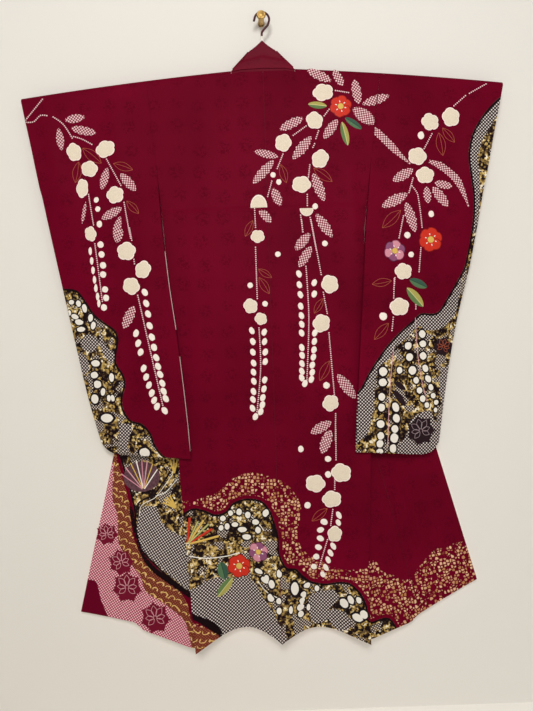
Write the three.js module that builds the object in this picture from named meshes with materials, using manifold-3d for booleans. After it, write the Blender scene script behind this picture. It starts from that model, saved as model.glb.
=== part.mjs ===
// A long-sleeved silk furisode, hung open on a hanger from a wall peg with its back to the room.
// Millimetres. The origin is the centre of the peg's back face, on the wall. +Z is up, the wall is the
// plane y = 0 and the garment hangs in front of it at y < 0, so a depth is a distance out from the wall.
// Each half is worked out on the +X side, where x is the distance from the centre back seam, and is then
// mirrored with its own sizes. The wearer's left sleeve hangs on the -X side.

import * as THREE from 'three';
import { mergeVertices } from 'three/addons/utils/BufferGeometryUtils.js';
import Module from 'manifold-3d';

// ---- driving dimensions ----

const cloth = {
  wall: 1.6,          // lined silk, outer cloth and lining together
  seamGap: 0.3,       // between two pieces at a seam
  sewnSpacing: 2.2,   // between the middles of two layers sewn edge on edge
};

const shoulder = {
  neckX: 86,          // half the neck opening
  topZ: -151,         // the fold along the shoulders, at the neck
  slope: 0.07,        // fall of the shoulder line for each mm outwards
  droop: 0.00005,     // and what it gains for each mm squared
  depth: 34,          // the hanger's own depth
  roll: 11,           // radius of the cloth's middle where it goes over the hanger
  rollSteps: 6,
  seamX: 316,         // about where the armhole seam goes over the shoulder
};

const back = {
  depth: 43.4,        // the back below the waist tuck
  neckZ: -158.5,      // top edge at the centre back
  tuckZ: -535,        // waist tuck sewn across the back
  tuckStep: 1.6,      // the cloth above it lies this much further out
  tuckRun: 5,
  waveTopZ: -1000,    // where the hem's waves begin
  waveFullZ: -1720,
  waveMean: -0.9,
  waveHeight: 15.5,   // ridges at the seams, a trough in each panel
  neckColumns: 3,
  columns: 10,
  rows: 20,
};

const front = {
  foldRoll: 5,        // radius of the fold where each front turns outwards
  foldDepth: 18,      // depth of that fold at the neck
  foldDepthGain: 20,  // how much further out it is at the hem
  edgeDepth: 12,      // the free edge, nearly on the wall
  seamBulge: 14,      // the turned-out front stands out behind the side seam at the hem
  seamBulgeWidth: 40,
  openBelowArm: 22,   // distance of front and back at the underarm opening
  armOpenZ: -515,     // the side seam starts below the underarm opening
  armClosedZ: -560,
  flapSlope: 0.245,   // width of the turned-out front for each mm down
  hemSag: 13,
  hemRise: 7,         // the front's hem at the side seam is this much above the back's
  flapCells: 3,
  foldCells: 4,
  sideCells: 3,
  minimumCell: 3,
  evenAboveZ: -165,   // a row's places are even above here
  spreadBelowZ: -250, // and are spread over the fold below here
  closeTopZ: -178,    // close rows where the collar comes over the fold
  closeLowZ: -350,
  closeStep: 10,
};

const overlap = {
  pointZ: -392,       // top point of the overlap panel on the collar seam
  columns: 3,
  endStep: 1,         // half height of the step under the collar's end
};

const sleeve = {
  armholeZ: -386,     // the sleeve is sewn to the body down to here
  freeZ: -590,        // and from here it hangs in front of the body's side
  freeGap: 0.5,       // they part a little more below the armhole
  innerLift: 26,      // how much further out its inner edge then is
  nearTopX: 322,      // about the inner and the outer end of its top edge
  farTopX: 665,
  halfOpen: 6.5,      // half the distance of its two layers
  armholeOpenDrop: 90, // the fuller opening at the armhole runs out this far below it
  topOpenDrop: 140,
  wristLength: 235,   // open part of the outer edge
  sewnRun: 70,        // from a sewn edge to the full distance
  cornerRound: 42,
  columns: 8,
  rows: 17,
};

const collar = {
  legWidth: 55,       // folded in two along the fronts
  topInset: 13,       // narrower at the shoulder, so that it comes to the fold only lower down
  topDrop: 6,
  edgeLength: 800,    // free edge of the overlap panel below the collar's end
  neckX: 87,
  apexX: 33,          // where its upper edge turns to the front
  apexZ: -98,
  peakZ: -72,         // drawn up over the hanger's neck at the centre
  peakDepth: 42.5,
  frontDepth: 21,     // of its upper edge where it comes down the front
  creaseStep: 2.6,    // the folded-back half lies behind the outer half
  creaseAt: 0.44,
  flapCells: 2,
  sideCells: 1,
  leastCell: 2,
  sewnIn: 0.7,        // the collar's seam lies this much inside the body's edge
  coverGap: 0.7,      // between the collar and its cover
  coverLegZ: -560,    // the cover's ends on the fronts
};

const hanger = {
  barRadius: 9.3,
  barHalfLength: 640,
  barSides: 12,
  barSteps: 16,
  ferruleTopZ: -57,
  ferruleRadius: 5.2,
  ferruleTopRadius: 4.3,
  wireRadius: 3.15,
  wireSides: 8,
  hookRadius: 20.5,
  hookX: 1.5,
  hookZ: -9.1,
  hookSteps: 36,
};

const peg = {
  baseRadius: 9.5,
  baseDepth: 4,
  stemRadius: 8,
  headRadius: 12.5,
  headDepth: 37.7,
  headFront: 43.2,
  notchWidth: 2.6,
  notchHeight: 3.2,
  notchX: 3.6,
  sides: 28,
};

// Each side's own lengths. seam: the body's side seam. furi: the sleeve's inner edge. cuff: its outer edge.
const sides = {
  left: {
    sign: -1,
    sideRise: -1690,
    tipAtCentre: 38,
    tipAtSide: 57,
    seam: [
      { z: -600, x: 286.5 },
      { z: -680, x: 283 },
      { z: -900, x: 273 },
      { z: -1215, x: 267.5 },
      { z: -1550, x: 248 },
      { z: -1748, x: 237 },
    ],
    furi: [
      { z: -160, x: 323 },
      { z: -600, x: 287.3 },
      { z: -740, x: 275 },
      { z: -890, x: 257.5 },
      { z: -1110, x: 238 },
      { z: -1213, x: 232 },
    ],
    cuff: [
      { z: -200, x: 671 },
      { z: -455, x: 627 },
      { z: -730, x: 576 },
      { z: -915, x: 540 },
      { z: -1056, x: 511 },
      { z: -1200, x: 473 },
    ],
    bottomInnerZ: -1214,
    bottomOuterZ: -1200,
    foldTop: { x: 33, z: -151 },
    foldHem: { x: 203, z: -1700 },
    overlapHem: { x: 412, z: -1671 },
    corner: { x: 562, z: -1641 },
    edgePoint: { x: 460, z: -1224 },
    outerTurn: 4,
  },
  right: {
    sign: 1,
    sideRise: -1697,
    tipAtCentre: 31,
    tipAtSide: 40,
    seam: [
      { z: -600, x: 263.7 },
      { z: -680, x: 262 },
      { z: -900, x: 261 },
      { z: -1215, x: 260 },
      { z: -1550, x: 243 },
      { z: -1737, x: 242 },
    ],
    furi: [
      { z: -160, x: 322 },
      { z: -600, x: 264.5 },
      { z: -740, x: 254 },
      { z: -990, x: 233 },
      { z: -1210, x: 217 },
    ],
    cuff: [
      { z: -200, x: 662 },
      { z: -495, x: 600 },
      { z: -695, x: 557 },
      { z: -850, x: 515 },
      { z: -1018, x: 480 },
      { z: -1225, x: 447 },
    ],
    bottomInnerZ: -1210,
    bottomOuterZ: -1227,
    foldTop: { x: 33, z: -151 },
    foldHem: { x: 203, z: -1700 },
    overlapHem: { x: 386, z: -1672 },
    corner: { x: 553, z: -1587 },
    edgePoint: { x: 455, z: -1229 },
    outerTurn: 0,
  },
};

const colours = {
  crimson: 0x6d0a22,
  collar: 0x650820,
  brass: 0xb99a55,
  wire: 0x4b1a26,
  white: 0xe8e4de,
  bar: 0x2a1c1e,
};

// ---- small helpers ----

const clamp01 = (value) => Math.min(1, Math.max(0, value));
const lerp = (a, b, t) => a + (b - a) * t;
const smooth = (from, to, value) => {
  const t = clamp01((value - from) / (to - from));
  return t * t * (3 - 2 * t);
};
const mix = (a, b, t) => ({ x: lerp(a.x, b.x, t), z: lerp(a.z, b.z, t) });

// x at a height, on a smooth curve through a table's rows, straight past its ends
function edgeAt(rows, z) {
  let i = 0;
  while (i < rows.length - 2 && z < rows[i + 1].z) i += 1;
  const slopeAt = (k) => {
    const above = rows[Math.max(k - 1, 0)];
    const below = rows[Math.min(k + 1, rows.length - 1)];
    return (below.x - above.x) / (below.z - above.z);
  };
  const a = rows[i];
  const b = rows[i + 1];
  const span = b.z - a.z;
  const t = clamp01((z - a.z) / span);
  const bendA = (slopeAt(i) * span - (b.x - a.x)) * t * (1 - t) * (1 - t);
  const bendB = ((b.x - a.x) - slopeAt(i + 1) * span) * t * t * (1 - t);
  const past = z > a.z ? (z - a.z) * slopeAt(0) : z < b.z ? (z - b.z) * slopeAt(i + 1) : 0;
  return lerp(a.x, b.x, t) + bendA + bendB + past;
}

function shoulderZ(x) {
  const out = Math.max(0, x - shoulder.neckX);
  return shoulder.topZ - shoulder.slope * out - shoulder.droop * out * out;
}

const straightTopZ = (x) => shoulderZ(x) - shoulder.roll;
const hemFall = (z) => smooth(back.waveTopZ, back.waveFullZ, z);
// straight along the armhole and the underarm opening, where body and sleeve lie edge to edge
function furiX(side, z) {
  const [top, low] = side.furi;
  if (z > low.z) return lerp(top.x, low.x, (z - top.z) / (low.z - top.z));
  return edgeAt(side.furi.slice(1), z);
}
const cuffX = (side, z) => edgeAt(side.cuff, z);
function seamX(side, z) {
  const [top] = side.seam;
  const gap = cloth.seamGap + sleeve.freeGap * smooth(sleeve.armholeZ, sleeve.armholeZ - 60, z);
  return z >= top.z ? furiX(side, z) - gap : edgeAt(side.seam, z);
}

// A place on the cloth: its middle and its outward direction, from two nearby steps along the cloth.
function placed(place, a, b, stepB = 0.4) {
  const step = 0.4;
  const point = place(a, b);
  const across = place(a + step, b).sub(place(a - step, b));
  const along = place(a, b + stepB).sub(place(a, b - stepB));
  return { point, normal: across.cross(along).normalize() };
}

// A wall of cloth on a grid of places. Cells for which kept is false are left open. Mirrored for the -X side.
function clothWall(grid, sign = 1, kept = () => true, lift = 0) {
  const rows = grid.length;
  const columns = grid[0].length;
  const positions = [];
  const half = cloth.wall / 2;
  for (const shift of [lift + half, lift - half]) {
    for (const row of grid) {
      for (const { point, normal } of row) {
        const p = point.clone().addScaledVector(normal, shift);
        positions.push(p.x * sign, p.y, p.z);
      }
    }
  }
  const outer = (i, j) => i * columns + j;
  const inner = (i, j) => rows * columns + i * columns + j;
  const has = (i, j) => i >= 0 && j >= 0 && i < rows - 1 && j < columns - 1 && kept(i, j);
  const faces = [];
  const quad = (a, b, c, d) => faces.push([a, b, c], [a, c, d]);
  const rim = (i0, j0, i1, j1) => quad(outer(i0, j0), inner(i0, j0), inner(i1, j1), outer(i1, j1));
  for (let i = 0; i < rows - 1; i += 1) {
    for (let j = 0; j < columns - 1; j += 1) {
      if (!has(i, j)) continue;
      quad(outer(i, j), outer(i, j + 1), outer(i + 1, j + 1), outer(i + 1, j));
      quad(inner(i, j), inner(i + 1, j), inner(i + 1, j + 1), inner(i, j + 1));
      if (!has(i - 1, j)) rim(i, j, i, j + 1);
      if (!has(i + 1, j)) rim(i + 1, j + 1, i + 1, j);
      if (!has(i, j - 1)) rim(i + 1, j, i, j);
      if (!has(i, j + 1)) rim(i, j + 1, i + 1, j + 1);
    }
  }
  const index = faces.flatMap(([a, b, c]) => (sign > 0 ? [a, b, c] : [a, c, b]));
  const used = [...new Set(index)];
  const renamed = new Map(used.map((old, k) => [old, k]));
  const geometry = new THREE.BufferGeometry();
  const kept3 = used.flatMap((old) => positions.slice(old * 3, old * 3 + 3));
  geometry.setAttribute('position', new THREE.Float32BufferAttribute(kept3, 3));
  geometry.setIndex(index.map((old) => renamed.get(old)));
  geometry.computeVertexNormals();
  return geometry;
}

// ---- the body: back, over the shoulder, and the front turned outwards ----

function backHemZ(side, across) {
  const low = 0.35;
  if (across < low) return side.sideRise - side.tipAtCentre * (1 - across / low) ** 2;
  return side.sideRise - side.tipAtSide * ((across - low) / (1 - low)) ** 1.7;
}

function backDepth(side, x, z) {
  const across = x / seamX(side, z);
  const wave = back.waveMean + back.waveHeight * Math.cos(2 * Math.PI * across);
  const tuck = back.tuckStep * smooth(back.tuckZ - back.tuckRun / 2, back.tuckZ + back.tuckRun / 2, z);
  return back.depth + tuck + hemFall(z) * wave;
}

const placeBack = (side) => (x, z) => new THREE.Vector3(x, -backDepth(side, x, z), z);

const placeRoll = (x, angle) => new THREE.Vector3(
  x,
  -(shoulder.depth + shoulder.roll * Math.cos(angle)),
  straightTopZ(x) + shoulder.roll * Math.sin(angle),
);

// The line on which a front turns outwards, from the neck to the hem
function foldLine(side) {
  const dx = side.foldHem.x - side.foldTop.x;
  const dz = side.foldHem.z - side.foldTop.z;
  const length = Math.hypot(dx, dz);
  const down = { x: dx / length, z: dz / length };
  return { from: side.foldTop, down, out: { x: -down.z, z: down.x } };
}

function fromFold(line, p) {
  const dx = p.x - line.from.x;
  const dz = p.z - line.from.z;
  return {
    along: dx * line.down.x + dz * line.down.z,
    off: dx * line.out.x + dz * line.out.z,
  };
}

function onFold(line, along, off) {
  return {
    x: line.from.x + along * line.down.x + off * line.out.x,
    z: line.from.z + along * line.down.z + off * line.out.z,
  };
}

// Where a point of the hung, turned-out front lies on the front laid closed, and the other way round
function unfold(side, p) {
  const line = foldLine(side);
  const { along, off } = fromFold(line, p);
  return onFold(line, along, -off);
}

const foldArc = front.foldRoll * Math.PI / 2;
const foldX = (side, z) => lerp(side.foldTop.x, side.foldHem.x,
  (z - side.foldTop.z) / (side.foldHem.z - side.foldTop.z));

// A point of the closed front, as it hangs with the part past the fold line turned outwards
const placeFront = (side) => (x, q) => {
  const line = foldLine(side);
  const { along, off } = fromFold(line, { x, z: -q });
  const distance = Math.abs(off);
  const turned = distance < foldArc;
  const roll = front.foldRoll;
  const reach = turned ? foldArc - roll * Math.cos(distance / roll) : distance;
  const rise = turned ? roll * Math.sin(distance / roll) : roll;
  const hung = onFold(line, along, reach);
  const fall = hemFall(hung.z);
  const middle = front.foldDepth + front.foldDepthGain * fall;
  const seam = seamX(side, hung.z);
  const fold = foldX(side, hung.z);
  const toSeam = smooth(0, 1, (hung.x - fold) / (seam - fold));
  if (off >= 0) {
    const closed = smooth(front.armOpenZ, front.armClosedZ, hung.z);
    const spacing = lerp(front.openBelowArm, cloth.sewnSpacing, closed);
    const atSeam = backDepth(side, seam, hung.z) - spacing;
    const depth = middle + rise + (atSeam - middle - roll) * toSeam * smooth(0, roll, distance);
    return new THREE.Vector3(hung.x, -depth, hung.z);
  }
  const flap = Math.max(60, front.flapSlope * (side.foldTop.z - hung.z));
  const outwards = smooth(0, 1, (hung.x - fold - roll) / flap);
  const aside = (hung.x - seam) / front.seamBulgeWidth;
  const falling = hung.x > seam ? smooth(flap + fold, seam, hung.x) : toSeam;
  const bulge = front.seamBulge * fall * falling * Math.exp(-Math.abs(aside) / 2.2);
  const depth = middle - rise + (front.edgeDepth - middle + roll) * outwards + bulge;
  return new THREE.Vector3(hung.x, -depth, hung.z);
};

// Distances from the fold line for a row's places, so that some always lie on the rolled fold itself.
// Near the shoulder, where the front has hardly begun to turn, they are even.
function spreadOverFold(z, from, to, flapCells, sideCells, least) {
  const foldEnd = flapCells + front.foldCells;
  const cells = foldEnd + sideCells;
  const offs = [];
  for (let k = 0; k <= foldEnd; k += 1) {
    const wanted = k <= flapCells
      ? lerp(from, -foldArc, k / flapCells)
      : lerp(-foldArc, foldArc, (k - flapCells) / front.foldCells);
    const room = to - least * (foldEnd + sideCells - k);
    offs.push(Math.min(room, Math.max(wanted, from + least * k)));
  }
  for (let k = 1; k <= sideCells; k += 1) offs.push(lerp(offs[foldEnd], to, k / sideCells));
  const spread = smooth(front.evenAboveZ, front.spreadBelowZ, z);
  return offs.map((off, k) => lerp(lerp(from, to, k / cells), off, spread));
}

// The closed front's outline. All points are on the front laid closed.
function frontOutline(side) {
  const corner = unfold(side, side.corner);
  const overlapHem = unfold(side, side.overlapHem);
  const edgePoint = unfold(side, side.edgePoint);
  const reach = collar.edgeLength / Math.hypot(edgePoint.x - corner.x, edgePoint.z - corner.z);
  const collarEnd = mix(corner, edgePoint, reach);
  const seamEnd = { x: collarEnd.x + collar.legWidth, z: collarEnd.z };
  const neck = { x: shoulder.neckX + 2, z: straightTopZ(shoulder.neckX) };
  const collarTop = { x: neck.x - collar.legWidth + collar.topInset, z: neck.z - collar.topDrop };
  const pointT = (overlap.pointZ - neck.z) / (seamEnd.z - neck.z);
  const point = mix(neck, seamEnd, pointT);
  return { corner, overlapHem, collarEnd, seamEnd, neck, collarTop, point };
}

const onCollarSeam = (o, z) => mix(o.neck, o.seamEnd, (z - o.neck.z) / (o.seamEnd.z - o.neck.z));
const onOverlapSeam = (o, z) => mix(o.point, o.overlapHem, (z - o.point.z) / (o.overlapHem.z - o.point.z));
const onFreeEdge = (o, z) => mix(o.collarEnd, o.corner, (z - o.collarEnd.z) / (o.corner.z - o.collarEnd.z));

// Heights of the rows along a front's inner edge
function frontHeights(side) {
  const o = frontOutline(side);
  const heights = [o.neck.z];
  for (let z = front.closeTopZ; z > front.closeLowZ; z -= front.closeStep) heights.push(z);
  heights.push(front.closeLowZ - front.closeStep, overlap.pointZ);
  const evenRows = 12;
  for (let k = 1; k <= evenRows; k += 1) heights.push(lerp(overlap.pointZ, o.overlapHem.z, k / evenRows));
  const end = o.seamEnd.z;
  const inner = heights.filter((z) => Math.abs(z - end) > 20);
  return [...inner, end + overlap.endStep, end - overlap.endStep].sort((a, b) => b - a);
}

const bodyInnerEdge = (o, z) => (z > o.point.z ? onCollarSeam(o, z) : onOverlapSeam(o, z));

function bodyGrid(side) {
  const o = frontOutline(side);
  const line = foldLine(side);
  const neckPart = back.neckColumns;
  const count = neckPart + back.columns;
  const topSeam = seamX(side, straightTopZ(shoulder.seamX));
  const neckShare = o.neck.x / topSeam;
  const shareOf = (c) => (c <= neckPart
    ? neckShare * c / neckPart
    : lerp(neckShare, 1, (c - neckPart) / back.columns));
  const centre = cloth.seamGap / 2;
  const grid = [];
  const heights = [];
  for (let k = 0; k < back.rows; k += 1) heights.push(1 - k / back.rows);
  const tuckShare = (back.tuckZ - shoulder.topZ) / (side.sideRise - shoulder.topZ);
  const nearTuck = back.tuckRun / 2 / (shoulder.topZ - side.sideRise);
  const shares = [...heights.filter((t) => Math.abs(t - tuckShare) > 0.02), tuckShare + nearTuck,
    tuckShare - nearTuck, 0].sort((a, b) => b - a);
  for (const t of shares) {
    grid.push(Array.from({ length: count + 1 }, (_, c) => {
      const across = shareOf(c);
      const xTop = Math.max(centre, across * topSeam);
      const top = c < neckPart ? back.neckZ : straightTopZ(xTop);
      const z = lerp(top, backHemZ(side, across), t);
      const x = Math.max(centre, across * seamX(side, z));
      return placed(placeBack(side), x, z);
    }));
  }
  for (let k = 1; k < shoulder.rollSteps; k += 1) {
    const angle = Math.PI * k / shoulder.rollSteps;
    grid.push(Array.from({ length: count + 1 }, (_, c) => placed(placeRoll, shareOf(c) * topSeam, angle, 0.02)));
  }
  const hemSide = { x: seamX(side, backHemZ(side, 1)), z: backHemZ(side, 1) + front.hemRise };
  for (const z of frontHeights(side)) {
    const inner = bodyInnerEdge(o, z);
    const t = (z - o.neck.z) / (o.overlapHem.z - o.neck.z);
    const sideTop = straightTopZ(topSeam);
    const sideZ = lerp(sideTop, hemSide.z, t);
    const outer = { x: seamX(side, sideZ), z: sideZ };
    const a = fromFold(line, inner);
    const b = fromFold(line, outer);
    const offs = spreadOverFold(z, a.off, b.off, front.flapCells, front.sideCells, front.minimumCell);
    const row = offs.map((off) => {
      const share = (off - a.off) / (b.off - a.off);
      const p = mix(inner, outer, share);
      const behindFold = (0 - a.off) / (b.off - a.off);
      const sag = front.hemSag * smooth(0.75, 1, t) * smooth(behindFold, behindFold - 0.2, share)
        * smooth(0, 0.15, share);
      const level = shoulderZ(Math.max(p.x, shoulder.neckX)) - shoulderZ(shoulder.neckX)
        - (shoulderZ(topSeam) - shoulderZ(shoulder.neckX)) * share;
      const top = (1 - smooth(0, 0.1, t)) * level;
      return placed(placeFront(side), p.x, -(p.z - sag + top));
    });
    grid.push([...Array.from({ length: neckPart }, () => row[0]), ...row]);
  }
  const kept = (i, j) => j >= neckPart || i < shares.length - 1;
  return { grid, kept };
}

function bodyWall(side) {
  const { grid, kept } = bodyGrid(side);
  return clothWall(grid, side.sign, kept);
}

// ---- the overlap panel on each front's edge ----

function overlapWall(side) {
  const o = frontOutline(side);
  const heights = frontHeights(side).filter((z) => z < overlap.pointZ - 1);
  const start = lerp(overlap.pointZ, heights[0], 0.35);
  const grid = [start, ...heights].map((z) => {
    const seam = onOverlapSeam(o, z);
    const t = (z - o.point.z) / (o.overlapHem.z - o.point.z);
    const freeZ = lerp(o.point.z, o.corner.z, t);
    const free = z > o.seamEnd.z ? onCollarSeam(o, z) : onFreeEdge(o, lerp(z, freeZ, smooth(-950, -1600, z)));
    const b = { x: seam.x - cloth.seamGap, z: seam.z };
    return Array.from({ length: overlap.columns + 1 }, (_, k) => {
      const p = mix(free, b, k / overlap.columns);
      return placed(placeFront(side), p.x, -p.z);
    });
  });
  return clothWall(grid, side.sign);
}

// ---- sleeves ----

// layer is 1 for the sleeve's outer side towards the room and -1 for the one towards the wall
const placeSleeve = (side, layer) => (u, v) => {
  const innerTop = straightTopZ(furiX(side, straightTopZ(sleeve.nearTopX)));
  const outerTop = straightTopZ(cuffX(side, straightTopZ(sleeve.farTopX)));
  const innerZ = lerp(innerTop, side.bottomInnerZ, v);
  const outerZ = lerp(outerTop, side.bottomOuterZ, v);
  const above = outerZ - side.bottomOuterZ;
  const round = sleeve.cornerRound;
  const short = above < round ? round - Math.sqrt(Math.max(0, round * round - (round - above) ** 2)) : 0;
  const inner = furiX(side, innerZ);
  const outer = cuffX(side, outerZ) - short;
  const x = lerp(inner, outer, u);
  const topX = lerp(furiX(side, innerTop), cuffX(side, outerTop), u);
  const topZ = straightTopZ(topX);
  const z = lerp(topZ, lerp(side.bottomInnerZ, side.bottomOuterZ, u), v);
  const width = outer - inner;
  const fromTop = topZ - z;
  const wrist = smooth(sleeve.wristLength + 30, sleeve.wristLength, fromTop);
  const fromOuter = Math.sin(clamp01(width * (1 - u) / sleeve.sewnRun) * Math.PI / 2);
  const fromBottom = Math.sin(clamp01((z - lerp(side.bottomInnerZ, side.bottomOuterZ, u)) / sleeve.sewnRun)
    * Math.PI / 2);
  const sewn = cloth.sewnSpacing / 2;
  const armhole = smooth(sleeve.armholeZ - sleeve.armholeOpenDrop, sleeve.armholeZ + 10, z) * smooth(0.75, 0.1, u);
  const top = smooth(sleeve.topOpenDrop, 0, fromTop);
  const open = lerp(sleeve.halfOpen, shoulder.roll, Math.max(armhole, top));
  const gap = sewn + (open - sewn) * Math.max(fromOuter, wrist) * fromBottom;
  const free = smooth(sleeve.armholeZ - 8, sleeve.freeZ, z);
  const lift = sleeve.innerLift * free * (1 - u) ** 0.8;
  const turn = side.outerTurn * smooth(-300, -900, z) * u * u;
  const depth = shoulder.depth + lift - turn + layer * gap;
  return new THREE.Vector3(x, -depth, z);
};

function sleeveGrid(side) {
  const us = Array.from({ length: sleeve.columns + 1 }, (_, k) => {
    const t = k / sleeve.columns;
    return lerp(t, Math.sin(t * Math.PI / 2), 0.35);
  });
  const vs = Array.from({ length: sleeve.rows + 1 }, (_, k) => {
    const t = k / sleeve.rows;
    return lerp(t, Math.sin(t * Math.PI / 2), 0.55);
  });
  const outside = placeSleeve(side, 1);
  const wallSide = placeSleeve(side, -1);
  const edge = 0.0006;
  const inward = (u) => Math.min(1 - edge, Math.max(edge, u));
  const grid = [];
  for (const v of [...vs].reverse()) {
    grid.push(us.map((u) => placedSleeve((a, b) => outside(a, -b), inward(u), -inward(v))));
  }
  for (let k = 1; k < shoulder.rollSteps; k += 1) {
    const angle = Math.PI * k / shoulder.rollSteps;
    grid.push(us.map((u) => placed(placeRoll, outside(u, 0).x, angle, 0.02)));
  }
  for (const v of vs) {
    grid.push(us.map((u) => placedSleeve(wallSide, inward(u), inward(v))));
  }
  return grid;
}

// As placed, for a place given by shares of the sleeve's width and length
function placedSleeve(place, u, v) {
  const step = 0.0005;
  const point = place(u, v);
  const across = place(u + step, v).sub(place(u - step, v));
  const along = place(u, v + step).sub(place(u, v - step));
  return { point, normal: across.cross(along).normalize() };
}

// ---- collar ----

// Stations along the collar, from one front's end over the neck to the other's, each with the point on its
// seam (s) and the point on its free edge (t), as [x, depth, z]
function collarStations(side, endZ) {
  const o = frontOutline(side);
  const stations = [];
  const neckPart = back.neckColumns;
  const centreS = { x: 0, depth: back.depth + back.tuckStep, z: back.neckZ + cloth.seamGap };
  const centreT = { x: 0, depth: collar.peakDepth, z: collar.peakZ };
  const turnS = { x: collar.neckX, depth: centreS.depth, z: o.neck.z + cloth.seamGap };
  const turnT = { x: collar.apexX, depth: collar.peakDepth - 1.5, z: collar.apexZ };
  for (let k = 0; k <= neckPart; k += 1) {
    const t = k / neckPart;
    const s = {
      x: lerp(centreS.x, turnS.x, t),
      depth: centreS.depth,
      z: k < neckPart ? centreS.z : turnS.z,
    };
    const free = {
      x: lerp(centreT.x, turnT.x, t),
      depth: lerp(centreT.depth, turnT.depth, t),
      z: lerp(centreT.z, turnT.z, t) - 1.5 * Math.sin(Math.PI * t),
    };
    stations.push({ s, t: free, creased: 1 - 0.3 * t });
  }
  for (let k = 1; k <= shoulder.rollSteps; k += 1) {
    const angle = Math.PI * k / shoulder.rollSteps;
    stations.push({
      s: {
        x: collar.neckX,
        depth: shoulder.depth + shoulder.roll * Math.cos(angle),
        z: o.neck.z + cloth.seamGap * Math.cos(angle) + shoulder.roll * Math.sin(angle),
      },
      t: {
        x: collar.apexX + 1.2 * Math.sin(angle),
        depth: lerp(turnT.depth, collar.frontDepth, (1 - Math.cos(angle)) / 2),
        z: collar.apexZ + 3 * Math.sin(angle) - 6 * k / shoulder.rollSteps,
      },
      creased: 0,
    });
  }
  const lowest = Math.max(endZ, o.seamEnd.z + 2 * overlap.endStep);
  const legs = frontHeights(side).filter((z) => z < o.neck.z - 1 && z > lowest + 1);
  return { stations, o, legs: [...legs, lowest] };
}

function lerpPlace(a, b, w) {
  return new THREE.Vector3(lerp(a.x, b.x, w), -lerp(a.depth, b.depth, w), lerp(a.z, b.z, w));
}

function collarColumns(side, endZ) {
  const { stations, o, legs } = collarStations(side, endZ);
  const line = foldLine(side);
  const cells = collar.flapCells + front.foldCells + collar.sideCells;
  const shares = Array.from({ length: cells + 1 }, (_, k) => k / cells);
  const neckRows = stations.map((station) => shares.map((w) => {
    const p = lerpPlace(station.s, station.t, w);
    const behind = smooth(collar.creaseAt - 0.03, collar.creaseAt + 0.09, w);
    const settle = 1 - smooth(collar.creaseAt + 0.1, 1, w);
    p.y += collar.creaseStep * station.creased * behind * settle;
    return { point: p };
  }));
  const legRows = legs.map((z) => {
    const share = (z - o.neck.z) / (o.seamEnd.z - o.neck.z);
    const onSeam = onCollarSeam(o, z);
    const seam = { x: onSeam.x - collar.sewnIn, z: onSeam.z };
    const free = mix(o.collarTop, o.collarEnd, share);
    const offs = spreadOverFold(z, fromFold(line, free).off, fromFold(line, seam).off,
      collar.flapCells, collar.sideCells, collar.leastCell);
    const span = offs[cells] - offs[0];
    return [...offs].reverse().map((off) => {
      const p = mix(free, seam, (off - offs[0]) / span);
      return placed(placeFront(side), p.x, -p.z);
    });
  });
  return { neckRows, legRows };
}

// Outward directions where a grid has none, from its neighbours
function withNormals(grid) {
  return grid.map((row, i) => row.map((place, j) => {
    if (place.normal) return place;
    const up = grid[Math.min(i + 1, grid.length - 1)][j].point;
    const down = grid[Math.max(i - 1, 0)][j].point;
    const right = row[Math.min(j + 1, row.length - 1)].point;
    const left = row[Math.max(j - 1, 0)].point;
    const normal = right.clone().sub(left).cross(up.clone().sub(down)).normalize();
    return { point: place.point, normal };
  }));
}

// A row with its first and last cells cut to half
function trimmed(row) {
  const half = (a, b) => ({
    point: a.point.clone().lerp(b.point, 0.5),
    normal: a.normal.clone().add(b.normal).normalize(),
  });
  const last = row.length - 1;
  return [half(row[0], row[1]), ...row.slice(1, last), half(row[last], row[last - 1])];
}

function collarWall(endZ, lift = 0) {
  const made = {};
  for (const name of ['left', 'right']) {
    const side = sides[name];
    const { neckRows, legRows } = collarColumns(side, endZ);
    const mirror = (place) => ({
      point: new THREE.Vector3(place.point.x * side.sign, place.point.y, place.point.z),
      normal: place.normal && new THREE.Vector3(place.normal.x * side.sign, place.normal.y, place.normal.z),
    });
    made[name] = [...neckRows, ...legRows].map((row) => row.map(mirror));
  }
  const rows = [...made.left.slice(1).reverse(), ...made.right];
  const grid = withNormals(rows.map((row) => [...row].reverse()));
  return clothWall(lift > 0 ? grid.map(trimmed) : grid, 1, () => true, lift);
}

// ---- hanger and peg ----

class PlaneCurve extends THREE.Curve {
  constructor(at) {
    super();
    this.at = at;
  }

  getPoint(t, target = new THREE.Vector3()) {
    const { x, z } = this.at(t);
    return target.set(x, -shoulder.depth, z);
  }
}

function roundBar(curve, radius, steps, roundSides) {
  const section = new THREE.Shape(Array.from({ length: roundSides }, (_, k) => {
    const angle = 2 * Math.PI * k / roundSides;
    return new THREE.Vector2(radius * Math.cos(angle), radius * Math.sin(angle));
  }));
  return new THREE.ExtrudeGeometry(section, { steps, extrudePath: curve, bevelEnabled: false });
}

function barGeometry() {
  const at = (t) => {
    const x = lerp(-hanger.barHalfLength, hanger.barHalfLength, t);
    return { x, z: straightTopZ(Math.abs(x)) };
  };
  return roundBar(new PlaneCurve(at), hanger.barRadius, hanger.barSteps, hanger.barSides);
}

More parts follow.
